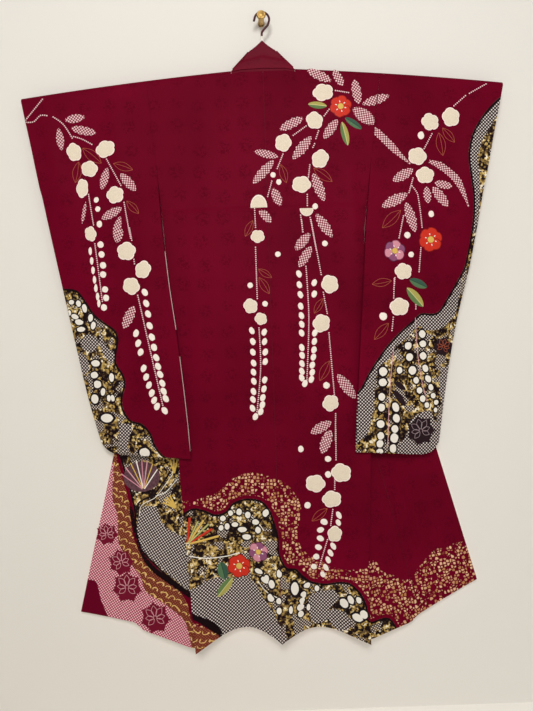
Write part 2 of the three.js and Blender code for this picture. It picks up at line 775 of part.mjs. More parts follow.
// Up out of the ferrule, a bend to the right, and a round hook over the peg's stem
function hookGeometry() {
  const points = [
    [0, hanger.ferruleTopZ + cloth.seamGap], [0, -51], [0.4, -45], [4.4, -39], [10.5, -32.5], [17, -25.5],
  ];
  const startAngle = -24;
  const endAngle = 176;
  const turns = 16;
  for (let k = 0; k <= turns; k += 1) {
    const angle = lerp(startAngle, endAngle, k / turns) * Math.PI / 180;
    points.push([hanger.hookX + hanger.hookRadius * Math.cos(angle),
      hanger.hookZ + hanger.hookRadius * Math.sin(angle)]);
  }
  points.push([-20.8, -12.5]);
  const path = new THREE.CatmullRomCurve3(points.map(([x, z]) => new THREE.Vector3(x, -shoulder.depth, z)));
  return roundBar(path, hanger.wireRadius, hanger.hookSteps, hanger.wireSides);
}

const turnedPart = (profile, roundSides) => new THREE.LatheGeometry(
  profile.map(([radius, height]) => new THREE.Vector2(radius, height)), roundSides);

function ferruleGeometry() {
  const foot = straightTopZ(0) + hanger.barRadius + cloth.seamGap;
  const profile = [
    [0, foot],
    [hanger.ferruleRadius + 1.2, foot],
    [hanger.ferruleRadius, foot + 6],
    [hanger.ferruleRadius, hanger.ferruleTopZ - 12],
    [hanger.ferruleTopRadius, hanger.ferruleTopZ],
    [0, hanger.ferruleTopZ],
  ];
  const geometry = turnedPart(profile, 16);
  geometry.rotateX(Math.PI / 2);
  geometry.translate(0, -shoulder.depth, 0);
  return geometry;
}

const wasm = await Module();
wasm.setup();

function toSolid(geometry) {
  const bare = geometry.clone();
  bare.deleteAttribute('normal');
  bare.deleteAttribute('uv');
  const merged = mergeVertices(bare, 1e-4);
  const mesh = new wasm.Mesh({
    numProp: 3,
    vertProperties: new Float32Array(merged.attributes.position.array),
    triVerts: new Uint32Array(merged.index.array),
  });
  return new wasm.Manifold(mesh);
}

function toGeometry(solid) {
  const mesh = solid.getMesh();
  const geometry = new THREE.BufferGeometry();
  geometry.setAttribute('position', new THREE.BufferAttribute(mesh.vertProperties, 3));
  geometry.setIndex(new THREE.BufferAttribute(mesh.triVerts, 1));
  geometry.computeVertexNormals();
  return geometry;
}

function turnedOut(profile) {
  const geometry = turnedPart(profile, peg.sides);
  geometry.rotateX(Math.PI);
  return geometry;
}

// The lathe's axis is Y, so turned parts grow towards the room along -Y
function pegBase() {
  const base = turnedOut([
    [0, 0],
    [peg.baseRadius, 0],
    [peg.baseRadius, peg.baseDepth - 1],
    [peg.baseRadius - 1, peg.baseDepth],
    [0, peg.baseDepth],
  ]);
  let solid = toSolid(base);
  for (const x of [-peg.notchX, peg.notchX]) {
    const notch = new THREE.BoxGeometry(peg.notchWidth, 2 * peg.baseDepth, peg.notchHeight * 2);
    notch.translate(x, -peg.baseDepth - 1.4, -peg.baseRadius + 0.6);
    solid = solid.subtract(toSolid(notch));
  }
  return toGeometry(solid);
}

function pegStem() {
  const from = peg.baseDepth + cloth.seamGap;
  const to = peg.headDepth - cloth.seamGap;
  return turnedOut([[0, from], [peg.stemRadius, from], [peg.stemRadius, to], [0, to]]);
}

function pegHead() {
  const { headRadius, headDepth, headFront } = peg;
  return turnedOut([
    [0, headDepth],
    [headRadius - 1, headDepth],
    [headRadius, headDepth + 1],
    [headRadius, headFront - 1.6],
    [headRadius - 1.6, headFront],
    [headRadius * 0.62, headFront],
    [headRadius * 0.56, headFront - 0.7],
    [headRadius * 0.42, headFront - 0.7],
    [headRadius * 0.36, headFront],
    [0, headFront + 0.3],
  ]);
}

// ---- assembly ----

const finish = {
  silk: { color: colours.crimson, roughness: 0.6, metalness: 0 },
  collarSilk: { color: colours.collar, roughness: 0.55, metalness: 0 },
  brass: { color: colours.brass, roughness: 0.35, metalness: 1 },
  vinyl: { color: colours.wire, roughness: 0.4, metalness: 0 },
  whitePlastic: { color: colours.white, roughness: 0.5, metalness: 0 },
  lacquer: { color: colours.bar, roughness: 0.5, metalness: 0 },
};

const furisode = new THREE.Group();

function add(name, geometry, look) {
  const mesh = new THREE.Mesh(geometry, new THREE.MeshStandardMaterial(look));
  mesh.name = name;
  furisode.add(mesh);
}

for (const [name, side] of Object.entries(sides)) {
  add(`body_${name}`, bodyWall(side), finish.silk);
  add(`overlap_${name}`, overlapWall(side), finish.silk);
  add(`sleeve_${name}`, clothWall(sleeveGrid(side), side.sign), finish.silk);
}
const coverLift = cloth.wall + collar.coverGap;
add('collar', collarWall(-Infinity), finish.collarSilk);
add('collar_cover', collarWall(collar.coverLegZ, coverLift), finish.collarSilk);
add('hanger_bar', barGeometry(), finish.lacquer);
add('hanger_ferrule', ferruleGeometry(), finish.whitePlastic);
add('hanger_hook', hookGeometry(), finish.vinyl);
add('peg_base', pegBase(), finish.brass);
add('peg_stem', pegStem(), finish.brass);
add('peg_head', pegHead(), finish.brass);

export default furisode;
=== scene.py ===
# A crimson silk furisode, hung open on a kimono hanger from a brass wall peg with its back to the room.
# Blender is in metres. The tables here are in millimetres: x to the right, z up, depth out from the wall,
# all from the centre of the peg's back face. Each half is worked out on the +x side and then mirrored. Longer
# tables are written as text, with a comma between a row's numbers, a space between rows and a slash between paths.
import bpy
import math
import numpy as np
from mathutils import Matrix, Vector


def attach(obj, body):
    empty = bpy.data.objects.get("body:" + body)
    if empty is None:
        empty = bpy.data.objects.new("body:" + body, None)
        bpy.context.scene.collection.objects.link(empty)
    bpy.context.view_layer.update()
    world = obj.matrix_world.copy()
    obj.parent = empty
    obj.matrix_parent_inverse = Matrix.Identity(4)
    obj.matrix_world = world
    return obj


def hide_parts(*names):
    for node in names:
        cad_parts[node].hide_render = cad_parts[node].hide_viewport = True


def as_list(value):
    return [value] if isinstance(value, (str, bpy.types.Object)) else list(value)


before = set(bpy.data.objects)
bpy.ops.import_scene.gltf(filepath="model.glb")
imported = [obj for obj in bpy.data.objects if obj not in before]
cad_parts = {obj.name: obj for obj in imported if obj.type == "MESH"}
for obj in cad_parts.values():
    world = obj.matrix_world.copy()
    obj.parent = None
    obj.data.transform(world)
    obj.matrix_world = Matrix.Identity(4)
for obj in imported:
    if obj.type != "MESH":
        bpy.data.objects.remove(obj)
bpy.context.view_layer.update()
mm = 0.001


# ---- camera ----

view = {"place": (-16.8, -1514.0, -939.4), "roll": 1.94, "lens": 26.0, "sensor": 34.6}


def placed(name, data):
    # a new object in the scene, for a mesh, the camera or a light
    made = bpy.data.objects.new(name, data)
    bpy.context.scene.collection.objects.link(made)
    return made


def makeCamera():
    # level and square to the wall, then rolled about its own axis
    data = bpy.data.cameras.new("camera")
    data.lens, data.sensor_width, data.sensor_fit = view["lens"], view["sensor"], "AUTO"
    s, c = math.sin(math.radians(view["roll"])), math.cos(math.radians(view["roll"]))
    turn = Matrix(((c, s, 0, 0), (0, 0, -1, 0), (-s, c, 0, 0), (0, 0, 0, 1)))
    camera = placed("camera", data)
    camera.matrix_world = Matrix.Translation([v * mm for v in view["place"]]) @ turn
    bpy.context.scene.camera = camera


makeCamera()
print("camera placed")


# ---- small helpers ----

def blend(a, b, t):
    # a where t is 0, b where it is 1
    return a + (b - a) * t


def numbers(text):
    # rows of numbers written with a comma between a row's numbers and a space between rows
    return [[float(v) for v in row.split(",")] for row in text.split()]


def paths(text):
    # the paths written with a slash between them, each an array of places
    return [np.array(numbers(path)) for path in text.split("/")]


def smoothStep(start, end, value):
    # 0 before start, 1 past end, t * t * (3 - 2t) between
    t = np.clip((value - start) / (end - start), 0, 1)
    return t * t * (3 - 2 * t)


def linear(hexColour):
    # sRGB hex to linear red, green, blue and alpha
    raw = [int(hexColour[k:k + 2], 16) / 255 for k in (1, 3, 5)]
    return [v / 12.92 if v <= 0.04045 else ((v + 0.055) / 1.055) ** 2.4 for v in raw] + [1.0]


def stack(x, depth, z):
    # three arrays of one shape as points
    x, depth, z = np.broadcast_arrays(x, depth, z)
    return np.stack([x, depth, z], axis=-1)


def pair(a, b):
    # two arrays of one shape as places on a plane
    return np.stack([a, b], axis=-1)


def edgeAt(rows, z):
    # x at each height on a smooth curve through the rows (z, x), by Hermite spans, straight past the ends
    rows = np.array(rows, float)
    zs, xs = rows[:, 0], rows[:, 1]
    last = len(zs) - 1
    above, below = np.maximum(np.arange(last + 1) - 1, 0), np.minimum(np.arange(last + 1) + 1, last)
    slopes = (xs[below] - xs[above]) / (zs[below] - zs[above])
    i = np.searchsorted(-zs[1:-1], -z, side="left")
    span, rise = zs[i + 1] - zs[i], xs[i + 1] - xs[i]
    t = np.clip((z - zs[i]) / span, 0, 1)
    bend = (slopes[i] * span - rise) * t * (1 - t) ** 2 + (rise - slopes[i + 1] * span) * t * t * (1 - t)
    past = np.where(z > zs[i], (z - zs[i]) * slopes[0], np.where(z < zs[i + 1], (z - zs[i + 1]) * slopes[i + 1], 0))
    return xs[i] + rise * t + bend + past


# ---- dyed zones ----

# Outlines on the hung cloth by x and z, one loop each, run on past the cloth where a zone reaches its edge
zones = [
    ("sleeveLeft", "dark", """-577,-736 -553,-738 -529,-746 -504,-781 -486,-810 -457,-835 -429,-856 -420,-883
        -428,-923 -428,-949 -411,-978 -405,-1005 -414,-1037 -415,-1069 -395,-1104 -363,-1115 -339,-1142 -329,-1173
        -302,-1208 -245,-1220 -260,-1300 -800,-1300 -800,-700"""),
    ("sleeveRight", "dark", """660,-246 626,-271 596,-306 572,-346 560,-390 558,-425 563,-472 568,-518 566,-573
        559,-621 548,-673 533,-723 463,-832 441,-841 410,-839 384,-859 347,-890 322,-914 303,-935 280,-966 259,-997
        238,-1034 215,-1067 150,-1320 800,-1320 800,-200"""),
    ("back", "dark", """-334,-1370 -272,-1368 -234,-1352 -201,-1360 -173,-1374 -144,-1368 -125,-1346 -91,-1333
        -48,-1336 -23,-1361 -10,-1399 0,-1442 1,-1485 19,-1521 44,-1527 62,-1548 87,-1569 125,-1579 164,-1572
        193,-1574 219,-1598 234,-1633 237,-1670 276,-1673 314,-1694 500,-1900 -120,-1900 -174,-1699 -193,-1682
        -211,-1664 -230,-1654 -244,-1645 -500,-1625 -500,-1400"""),
    ("back", "flake", """-332,-1322 -271,-1329 -238,-1331 -195,-1322 -156,-1308 -122,-1277 -74,-1260 -27,-1269
        15,-1287 45,-1316 64,-1364 50,-1420 50,-1415 53,-1450 67,-1481 97,-1504 135,-1528 169,-1537 208,-1533
        239,-1522 266,-1519 500,-1900 -500,-1900 -500,-1300"""),
    ("back", "grey", """-207,-1554 -164,-1546 -132,-1554 -103,-1553 -70,-1563 -48,-1602 -23,-1638 -11,-1669 8,-1760
        -172,-1754 -278,-1684 -279,-1570 -246,-1571"""),
    ("back", "grey", "75,-1613 122,-1598 149,-1596 162,-1616 136,-1648 124,-1681 86,-1682"),
    ("back", "grey", "131,-1659 164,-1649 190,-1672 184,-1699 156,-1706 135,-1687"),
    ("back", "grey", "-54,-1608 -28,-1636 -12,-1664 14,-1714 -10,-1752 -80,-1717"),
    ("back", "black", """-249,-1634 -227,-1643 -200,-1658 -179,-1675 -164,-1702 -177,-1704 -201,-1682 -228,-1660
        -249,-1648"""),
    ("back", "brown", "-272,-1669 -234,-1671 -215,-1676 -196,-1687 -177,-1702 -165,-1743 -274,-1756"),
    ("frontRight", "flake", """209,-1514 244,-1515 267,-1520 278,-1544 317,-1563 344,-1578 372,-1569 388,-1546
        417,-1515 441,-1496 464,-1497 488,-1486 562,-1490 700,-1900 150,-1900 150,-1515"""),
    ("frontRight", "dark", """203,-1680 238,-1683 262,-1678 285,-1674 303,-1681 318,-1707 330,-1746 320,-1900
        150,-1900"""),
    ("frontLeft", "pink", """-700,-1225 -456,-1228 -463,-1319 -450,-1377 -450,-1449 -425,-1498 -390,-1542 -375,-1586
        -337,-1609 -300,-1634 -271,-1657 -257,-1691 -239,-1774 -240,-1900 -800,-1900"""),
    ("frontLeft", "crimson", "-588,-1544 -537,-1551 -515,-1560 -504,-1610 -477,-1688 -480,-1800 -800,-1800"),
    ("frontLeft", "brown", """-458,-1189 -456,-1228 -463,-1319 -450,-1377 -450,-1449 -425,-1498 -390,-1542
        -375,-1586 -337,-1609 -300,-1634 -271,-1657 -257,-1691 -240,-1788 -213,-1789 -234,-1697 -251,-1648
        -261,-1609 -288,-1575 -330,-1540 -372,-1500 -403,-1451 -412,-1402 -415,-1354 -424,-1306 -446,-1218
        -449,-1190"""),
    ("frontLeft", "dark", """-442,-1180 -436,-1218 -414,-1305 -402,-1368 -402,-1411 -388,-1469 -352,-1508 -315,-1543
        -256,-1586 -207,-1624 -100,-1700 -100,-1200"""),
    ("frontLeft", "grey", """-390,-1377 -375,-1351 -337,-1355 -319,-1404 -254,-1439 -216,-1455 -220,-1589 -314,-1533
        -361,-1493 -391,-1459 -396,-1410"""),
    ("frontLeft", "black", """-416,-1343 -405,-1363 -395,-1430 -380,-1479 -343,-1521 -305,-1548 -249,-1589
        -250,-1601 -306,-1565 -353,-1532 -387,-1488 -404,-1430 -415,-1377"""),
    ("sleeveRight", "grey", """567,-514 541,-640 533,-722 512,-832 489,-864 456,-885 422,-884 406,-872 384,-888
        361,-909 333,-930 318,-958 292,-979 274,-1022 273,-1066 260,-1132 248,-1165 219,-1186 202,-1218 208,-1042
        312,-897 402,-823 452,-824 504,-771 528,-694 543,-585"""),
    ("sleeveRight", "grey", """672,-225 626,-262 590,-300 565,-340 553,-388 550,-425 555,-472 560,-518 558,-573
        552,-615 570,-615 580,-573 588,-518 588,-472 584,-425 590,-388 610,-346 638,-306 662,-280 690,-262"""),
    ("sleeveRight", "grey", """463,-996 496,-986 503,-1107 476,-1261 327,-1256 337,-1201 358,-1169 376,-1125
        426,-1105 442,-1138 465,-1106 456,-1050"""),
    ("sleeveLeft", "grey", "-526,-879 -504,-864 -479,-878 -480,-903 -500,-914 -524,-902"),
    ("sleeveLeft", "grey", "-467,-854 -458,-898 -434,-916 -429,-938 -451,-940 -469,-909 -473,-870"),
    ("sleeveLeft", "grey", "-424,-1114 -391,-1121 -403,-1159 -407,-1192 -421,-1192 -428,-1148"),
    ("sleeveLeft", "grey", "-538,-915 -514,-929 -507,-963 -529,-973")]


def smoothLoop(points, steps=4):
    # closed curve through the points by Hermite spans, each point's tangent half the way between its neighbours
    # and no longer than the shorter of its two spans
    p = np.array(points, float)
    before, after = p - np.roll(p, 1, 0), np.roll(p, -1, 0) - p
    lengths = np.minimum(np.hypot(*before.T), np.hypot(*after.T))
    tangent = (before + after) / 2
    tangent *= np.minimum(1, lengths / np.maximum(np.hypot(*tangent.T), 1e-9))[:, None]
    t = (np.arange(steps) / steps)[None, :, None]
    start, leave, arrive = p[:, None], tangent[:, None], np.roll(tangent, -1, 0)[:, None]
    rise = after[:, None]
    curve = start + leave * t + (3 * rise - 2 * leave - arrive) * t ** 2 + (leave + arrive - 2 * rise) * t ** 3
    return curve.reshape(-1, 2)


def insideDistance(points, x, z):
    # mm to the nearest span of the loop, above 0 inside it, by counting the spans crossed to the right
    loop = smoothLoop(points)
    a, span = loop, np.roll(loop, -1, 0) - loop
    p = pair(np.ravel(x), np.ravel(z)).astype(np.float32)[:, None]
    off = p - a[None].astype(np.float32)
    share = np.clip((off * span).sum(2) / np.maximum((span * span).sum(1), 1e-9), 0, 1)
    nearest = np.hypot(off[..., 0] - share * span[:, 0], off[..., 1] - share * span[:, 1]).min(1)
    above, below = off[..., 1] >= 0, off[..., 1] - span[:, 1] >= 0
    level = off[..., 1] / np.where(span[:, 1] == 0, 1e-9, span[:, 1])
    crossed = (above != below) & (off[..., 0] < level * span[:, 0])
    inside = crossed.sum(1) % 2 == 1
    return np.where(inside, nearest, -nearest).reshape(np.shape(x))


zoneNames = ("dark", "flake", "pink", "crimson", "brown", "grey", "black")
farthest = 60.0


def zoneValues(region, side, grid):
    # for each zone the mm inside its outline, the greatest of its loops, held to the farthest
    x, z = grid[..., 0] * side["sign"], grid[..., 2]
    values = {name: np.full(np.shape(x), -farthest) for name in zoneNames}
    for where, name, points in zones:
        if where in (region, region + side["name"].title()):
            values[name] = np.maximum(values[name], insideDistance(numbers(points), x, z))
    return {name: np.clip(value, -farthest, farthest) for name, value in values.items()}


# ---- the hang of the cloth ----

# Soft ridges, and troughs below 0: both ends' x and z on the hung cloth, the width and the height, all in mm
creases = {
    "back": """-262,-541,-2,-536,3.2,-1.7 2,-536,262,-533,3.2,-1.7 -42,-175,-50,-430,15,1.8
        -150,-240,-185,-620,26,2.4 -95,-330,-120,-900,30,-2.2 -205,-700,-190,-1300,24,2.6 -60,-760,-40,-1380,28,2.2
        -130,-1050,-150,-1500,30,-2.6 70,-220,96,-620,22,2.0 165,-300,205,-760,26,-2.4 120,-700,96,-1250,26,2.4
        208,-860,190,-1420,22,2.2 45,-980,60,-1480,26,-2.2 232,-420,240,-640,14,1.6""",
    "sleeve": """-420,-230,-385,-640,30,3.0 -520,-320,-470,-760,24,-2.6 -340,-560,-320,-1060,24,2.4
        -410,-780,-372,-1130,26,-2.2 -600,-260,-560,-560,20,2.0 410,-260,372,-700,30,2.8 520,-300,470,-720,26,-2.4
        330,-620,300,-1080,24,2.2 430,-800,380,-1140,24,-2.4 590,-240,548,-520,20,2.2""",
    "front": """300,-1230,330,-1560,15,6.5 340,-1240,404,-1480,13,-6.5 424,-1300,470,-1600,22,4.2
        -330,-1260,-350,-1560,22,2.8 -420,-1330,-470,-1600,20,-2.4 -480,-1380,-540,-1580,16,2.0"""}


def relief(region, side, x, z):
    # each crease falls away from its line as a bell curve, and to two fifths of its height at its ends
    total = np.zeros(np.broadcast_shapes(np.shape(x), np.shape(z)))
    for x0, z0, x1, z1, width, height in numbers(creases[region]):
        if (x0 < 0) == (side["sign"] < 0):
            dx, dz = x1 - x0, z1 - z0
            t = np.clip(((x * side["sign"] - x0) * dx + (z - z0) * dz) / (dx * dx + dz * dz), 0, 1)
            away = (x * side["sign"] - x0 - t * dx) ** 2 + (z - z0 - t * dz) ** 2
            total = total + height * np.exp(-away / width ** 2) * (0.4 + 0.6 * np.sin(math.pi * t))
    return total


cut = {
    "wall": 1.6, "seamGap": 0.3, "sewn": 2.2,
    "neckX": 86, "topZ": -151, "slope": 0.07, "droop": 0.00005, "shoulderDepth": 34, "roll": 11, "armX": 316,
    "backDepth": 43.4, "neckZ": -158.5, "tuckZ": -535, "tuckStep": 1.6, "tuckRun": 5,
    "waveTop": -1000, "waveFull": -1720, "waveMean": -0.9, "wave": 15.5,
    "foldRoll": 5, "foldDepth": 18, "foldGain": 20, "edgeDepth": 12, "bulge": 14, "bulgeWidth": 88,
    "armGap": 22, "armOpen": -515, "armClosed": -560, "flapSlope": 0.245, "hemSag": 13, "hemRise": 7,
    "pointZ": -392, "legWidth": 55, "edgeLength": 800, "topInset": 13, "topDrop": 6,
    "armholeZ": -386, "freeZ": -590, "freeGap": 0.5, "innerLift": 26, "halfOpen": 6.5, "wrist": 235,
    "sewnRun": 70, "corner": 42, "looseRun": 60, "tipsPart": 0.35, "evenAbove": -165, "spreadBelow": -250,
    "creaseIn": 25, "creaseTop": 60, "flapLeast": 60,
}

left = {
    "name": "left", "sign": -1, "sideRise": -1690, "tipAtCentre": 38, "tipAtSide": 57,
    "seam": [(-600, 286.5), (-680, 283), (-900, 273), (-1215, 267.5), (-1550, 248), (-1748, 237)],
    "furi": [(-160, 323), (-600, 287.3), (-740, 275), (-890, 257.5), (-1110, 238), (-1213, 232)],
    "cuff": [(-200, 671), (-455, 627), (-730, 576), (-915, 540), (-1056, 511), (-1200, 473)],
    "bottomInner": -1214, "bottomOuter": -1200, "foldTop": (33, -151), "foldHem": (203, -1700),
    "overlapHem": (412, -1671), "hemCorner": (562, -1641), "edgePoint": (460, -1224), "outerTurn": 4,
    "liningShows": [(-640, -860), (-930, -1195)],
}

right = {
    "name": "right", "sign": 1, "sideRise": -1697, "tipAtCentre": 31, "tipAtSide": 40,
    "seam": [(-600, 263.7), (-680, 262), (-900, 261), (-1215, 260), (-1550, 243), (-1737, 242)],
    "furi": [(-160, 322), (-600, 264.5), (-740, 254), (-990, 233), (-1210, 217)],
    "cuff": [(-200, 662), (-495, 600), (-695, 557), (-850, 515), (-1018, 480), (-1225, 447)],
    "bottomInner": -1210, "bottomOuter": -1227, "foldTop": (33, -151), "foldHem": (203, -1700),
    "overlapHem": (386, -1672), "hemCorner": (553, -1587), "edgePoint": (455, -1229), "outerTurn": 0,
    "liningShows": [],
}


def topOf(x):
    # height of the hanger bar's line: a straight slope from the neck with a little droop
    out = np.maximum(0, x - cut["neckX"])
    return cut["topZ"] - cut["slope"] * out - cut["droop"] * out * out - cut["roll"]


def hemFall(z):
    # 0 where the back starts to wave, 1 below its hem
    return smoothStep(cut["waveTop"], cut["waveFull"], z)


def furiX(side, z):
    # x of the sleeve's inner edge: straight down the armhole, then on its smooth curve
    (topZ, topX), (lowZ, lowX) = side["furi"][:2]
    return np.where(z > lowZ, blend(topX, lowX, (z - topZ) / (lowZ - topZ)), edgeAt(side["furi"][1:], z))


def seamX(side, z):
    # x of the body's side: a seam's gap inside the sleeve's edge, and its own curve below the armhole
    loose = smoothStep(cut["armholeZ"], cut["armholeZ"] - cut["looseRun"], z)
    gap = cut["seamGap"] + cut["freeGap"] * loose
    return np.where(z >= side["seam"][0][0], furiX(side, z) - gap, edgeAt(side["seam"], z))


def backHem(side, across):
    # two soft tips, at the centre seam and at the side seam, each rising by a power of the way to the low place
    low = cut["tipsPart"]
    inner = side["tipAtCentre"] * np.clip(1 - across / low, 0, 1) ** 2
    outer = side["tipAtSide"] * np.clip((across - low) / (1 - low), 0, 1) ** 1.7
    return side["sideRise"] - inner - outer


def backDepth(side, x, z):
    # a cosine wave that grows towards the hem, with ridges at the seams and a trough in the panel, the tuck's
    # small step, and creases that die away towards the edges
    wave = cut["waveMean"] + cut["wave"] * np.cos(2 * math.pi * x / seamX(side, z))
    step = cut["tuckStep"] * smoothStep(cut["tuckZ"] - cut["tuckRun"] / 2, cut["tuckZ"] + cut["tuckRun"] / 2, z)
    inside = smoothStep(0, cut["creaseIn"], x) * smoothStep(0, cut["creaseIn"], seamX(side, z) - x)
    inside = inside * smoothStep(0, cut["creaseTop"], topOf(x) - z)
    return cut["backDepth"] + step + hemFall(z) * wave + relief("back", side, x, z) * inside


def rollOver(x, rows):
    # rows round a half circle over the hanger, through the row of x, and their places on the cloth laid flat
    angle = math.pi * np.arange(1, rows)[:, None] / rows
    x = np.broadcast_to(x, (len(angle), x.shape[-1]))
    grid = stack(x, cut["shoulderDepth"] + cut["roll"] * np.cos(angle), topOf(x) + cut["roll"] * np.sin(angle))
    return grid, pair(x, topOf(x) + cut["roll"] * angle)


def foldLine(side):
    # the front's fold: its top, its direction down, and the direction square to it on the body's side
    start = np.array(side["foldTop"], float)
    down = np.array(side["foldHem"], float) - start
    down /= np.hypot(*down)
    return start, down, np.array([-down[1], down[0]])


def unfold(side, p):
    # mirror of (x, z) in the fold line: the hung place on the front laid closed, and the other way round
    start, down, out = foldLine(side)
    off = (np.asarray(p, float) - start) @ out
    return np.asarray(p, float) - 2 * off[..., None] * out


foldArc = cut["foldRoll"] * math.pi / 2


def placeFront(side, x, z):
    # The closed front's point (x, z) as it hangs: past the fold line the cloth turns back outwards round a
    # quarter roll, and its depth runs from the fold to the side seam or to the free edge by smooth steps.
    start, down, out = foldLine(side)
    roll = cut["foldRoll"]
    along = (x - start[0]) * down[0] + (z - start[1]) * down[1]
    off = (x - start[0]) * out[0] + (z - start[1]) * out[1]
    distance = np.abs(off)
    turned = distance < foldArc
    reach = np.where(turned, foldArc - roll * np.cos(distance / roll), distance)
    rise = np.where(turned, roll * np.sin(distance / roll), roll)
    hungX = start[0] + along * down[0] + reach * out[0]
    hungZ = start[1] + along * down[1] + reach * out[1]
    fall = hemFall(hungZ)
    middle = cut["foldDepth"] + cut["foldGain"] * fall
    seam = seamX(side, hungZ)
    fold = blend(start[0], side["foldHem"][0], (hungZ - start[1]) / (side["foldHem"][1] - start[1]))
    toSeam = smoothStep(0, 1, (hungX - fold) / (seam - fold))
    spacing = blend(cut["armGap"], cut["sewn"], smoothStep(cut["armOpen"], cut["armClosed"], hungZ))
    atSeam = backDepth(side, seam, hungZ) - spacing
    closed = middle + rise + (atSeam - middle - roll) * toSeam * smoothStep(0, roll, distance)
    flap = np.maximum(cut["flapLeast"], cut["flapSlope"] * (start[1] - hungZ))
    outwards = smoothStep(0, 1, (hungX - fold - roll) / flap)
    falling = np.where(hungX > seam, smoothStep(flap + fold, seam, hungX), toSeam)
    bulge = cut["bulge"] * fall * falling * np.exp(-np.abs(hungX - seam) / cut["bulgeWidth"])
    turnedOut = middle - rise + (cut["edgeDepth"] - middle + roll) * outwards + bulge
    turnedOut = turnedOut + relief("front", side, hungX, hungZ) * smoothStep(seam, seam + cut["creaseIn"], hungX)
    return stack(hungX, np.where(off >= 0, closed, turnedOut), hungZ)


def isTurned(side, p):
    # whether the closed front's place is on the flap past the fold line
    start, _, out = foldLine(side)
    return (p - start) @ out < 0


def outline(side):
    # the closed front's corner points, as (x, z)
    corner, overlapHem, edgePoint = (unfold(side, side[k]) for k in ("hemCorner", "overlapHem", "edgePoint"))
    collarEnd = corner + (edgePoint - corner) * cut["edgeLength"] / np.hypot(*(edgePoint - corner))
    seamEnd = collarEnd + [cut["legWidth"], 0]
    neck = np.array([cut["neckX"] + 2, topOf(cut["neckX"])])
    collarTop = neck + [cut["topInset"] - cut["legWidth"], -cut["topDrop"]]
    point = blend(neck, seamEnd, (cut["pointZ"] - neck[1]) / (seamEnd[1] - neck[1]))
    return {"corner": corner, "overlapHem": overlapHem, "collarEnd": collarEnd, "seamEnd": seamEnd,
            "neck": neck, "collarTop": collarTop, "point": point}


def onLine(a, b, z):
    # x on the straight line from a to b at each height
    return a[0] + (b[0] - a[0]) * (z - a[1]) / (b[1] - a[1])


def spreadOver(fromOff, toOff, cells):
    # Distances from the fold line for each row's places: evenly to the rolled fold, evenly round it, and on
    fromOff, toOff = fromOff[:, None], toOff[:, None]
    flapCells, foldEnd, sideCells = cells["flapCells"], cells["flapCells"] + cells["foldCells"], cells["sideCells"]
    k = np.arange(foldEnd + 1)[None, :]
    onFlap = blend(fromOff, -foldArc, k / flapCells)
    onRoll = blend(-foldArc, foldArc, (k - flapCells) / cells["foldCells"])
    wanted = np.where(k <= flapCells, onFlap, onRoll)
    room = toOff - cells["least"] * (foldEnd + sideCells - k)
    offs = np.minimum(room, np.maximum(wanted, fromOff + cells["least"] * k))
    rest = blend(offs[:, -1:], toOff, np.arange(1, sideCells + 1)[None, :] / sideCells)
    return np.hstack([offs, rest])


def acrossFold(side, inner, outer, cells, z):
    # Shares of the way from inner to outer for each row's places, even at the neck and spread over the fold
    # below it, with the share at which each row crosses the fold line
    start, _, out = foldLine(side)
    a, b = (inner - start) @ out, (outer - start) @ out
    offs = spreadOver(a, b, cells)
    even = blend(a[:, None], b[:, None], np.linspace(0, 1, offs.shape[1])[None, :])
    offs = blend(even, offs, smoothStep(cut["evenAbove"], cut["spreadBelow"], z)[:, None])
    return (offs - a[:, None]) / (b - a)[:, None], (-a / (b - a))[:, None]


# ---- cloth pieces ----

def gridNormals(grid):
    # unit vectors square to the grid, from its slopes along and across
    across, along = np.gradient(grid, axis=1), np.gradient(grid, axis=0)
    normal = np.cross(along, across)
    return normal / np.maximum(np.linalg.norm(normal, axis=2, keepdims=True), 1e-9)


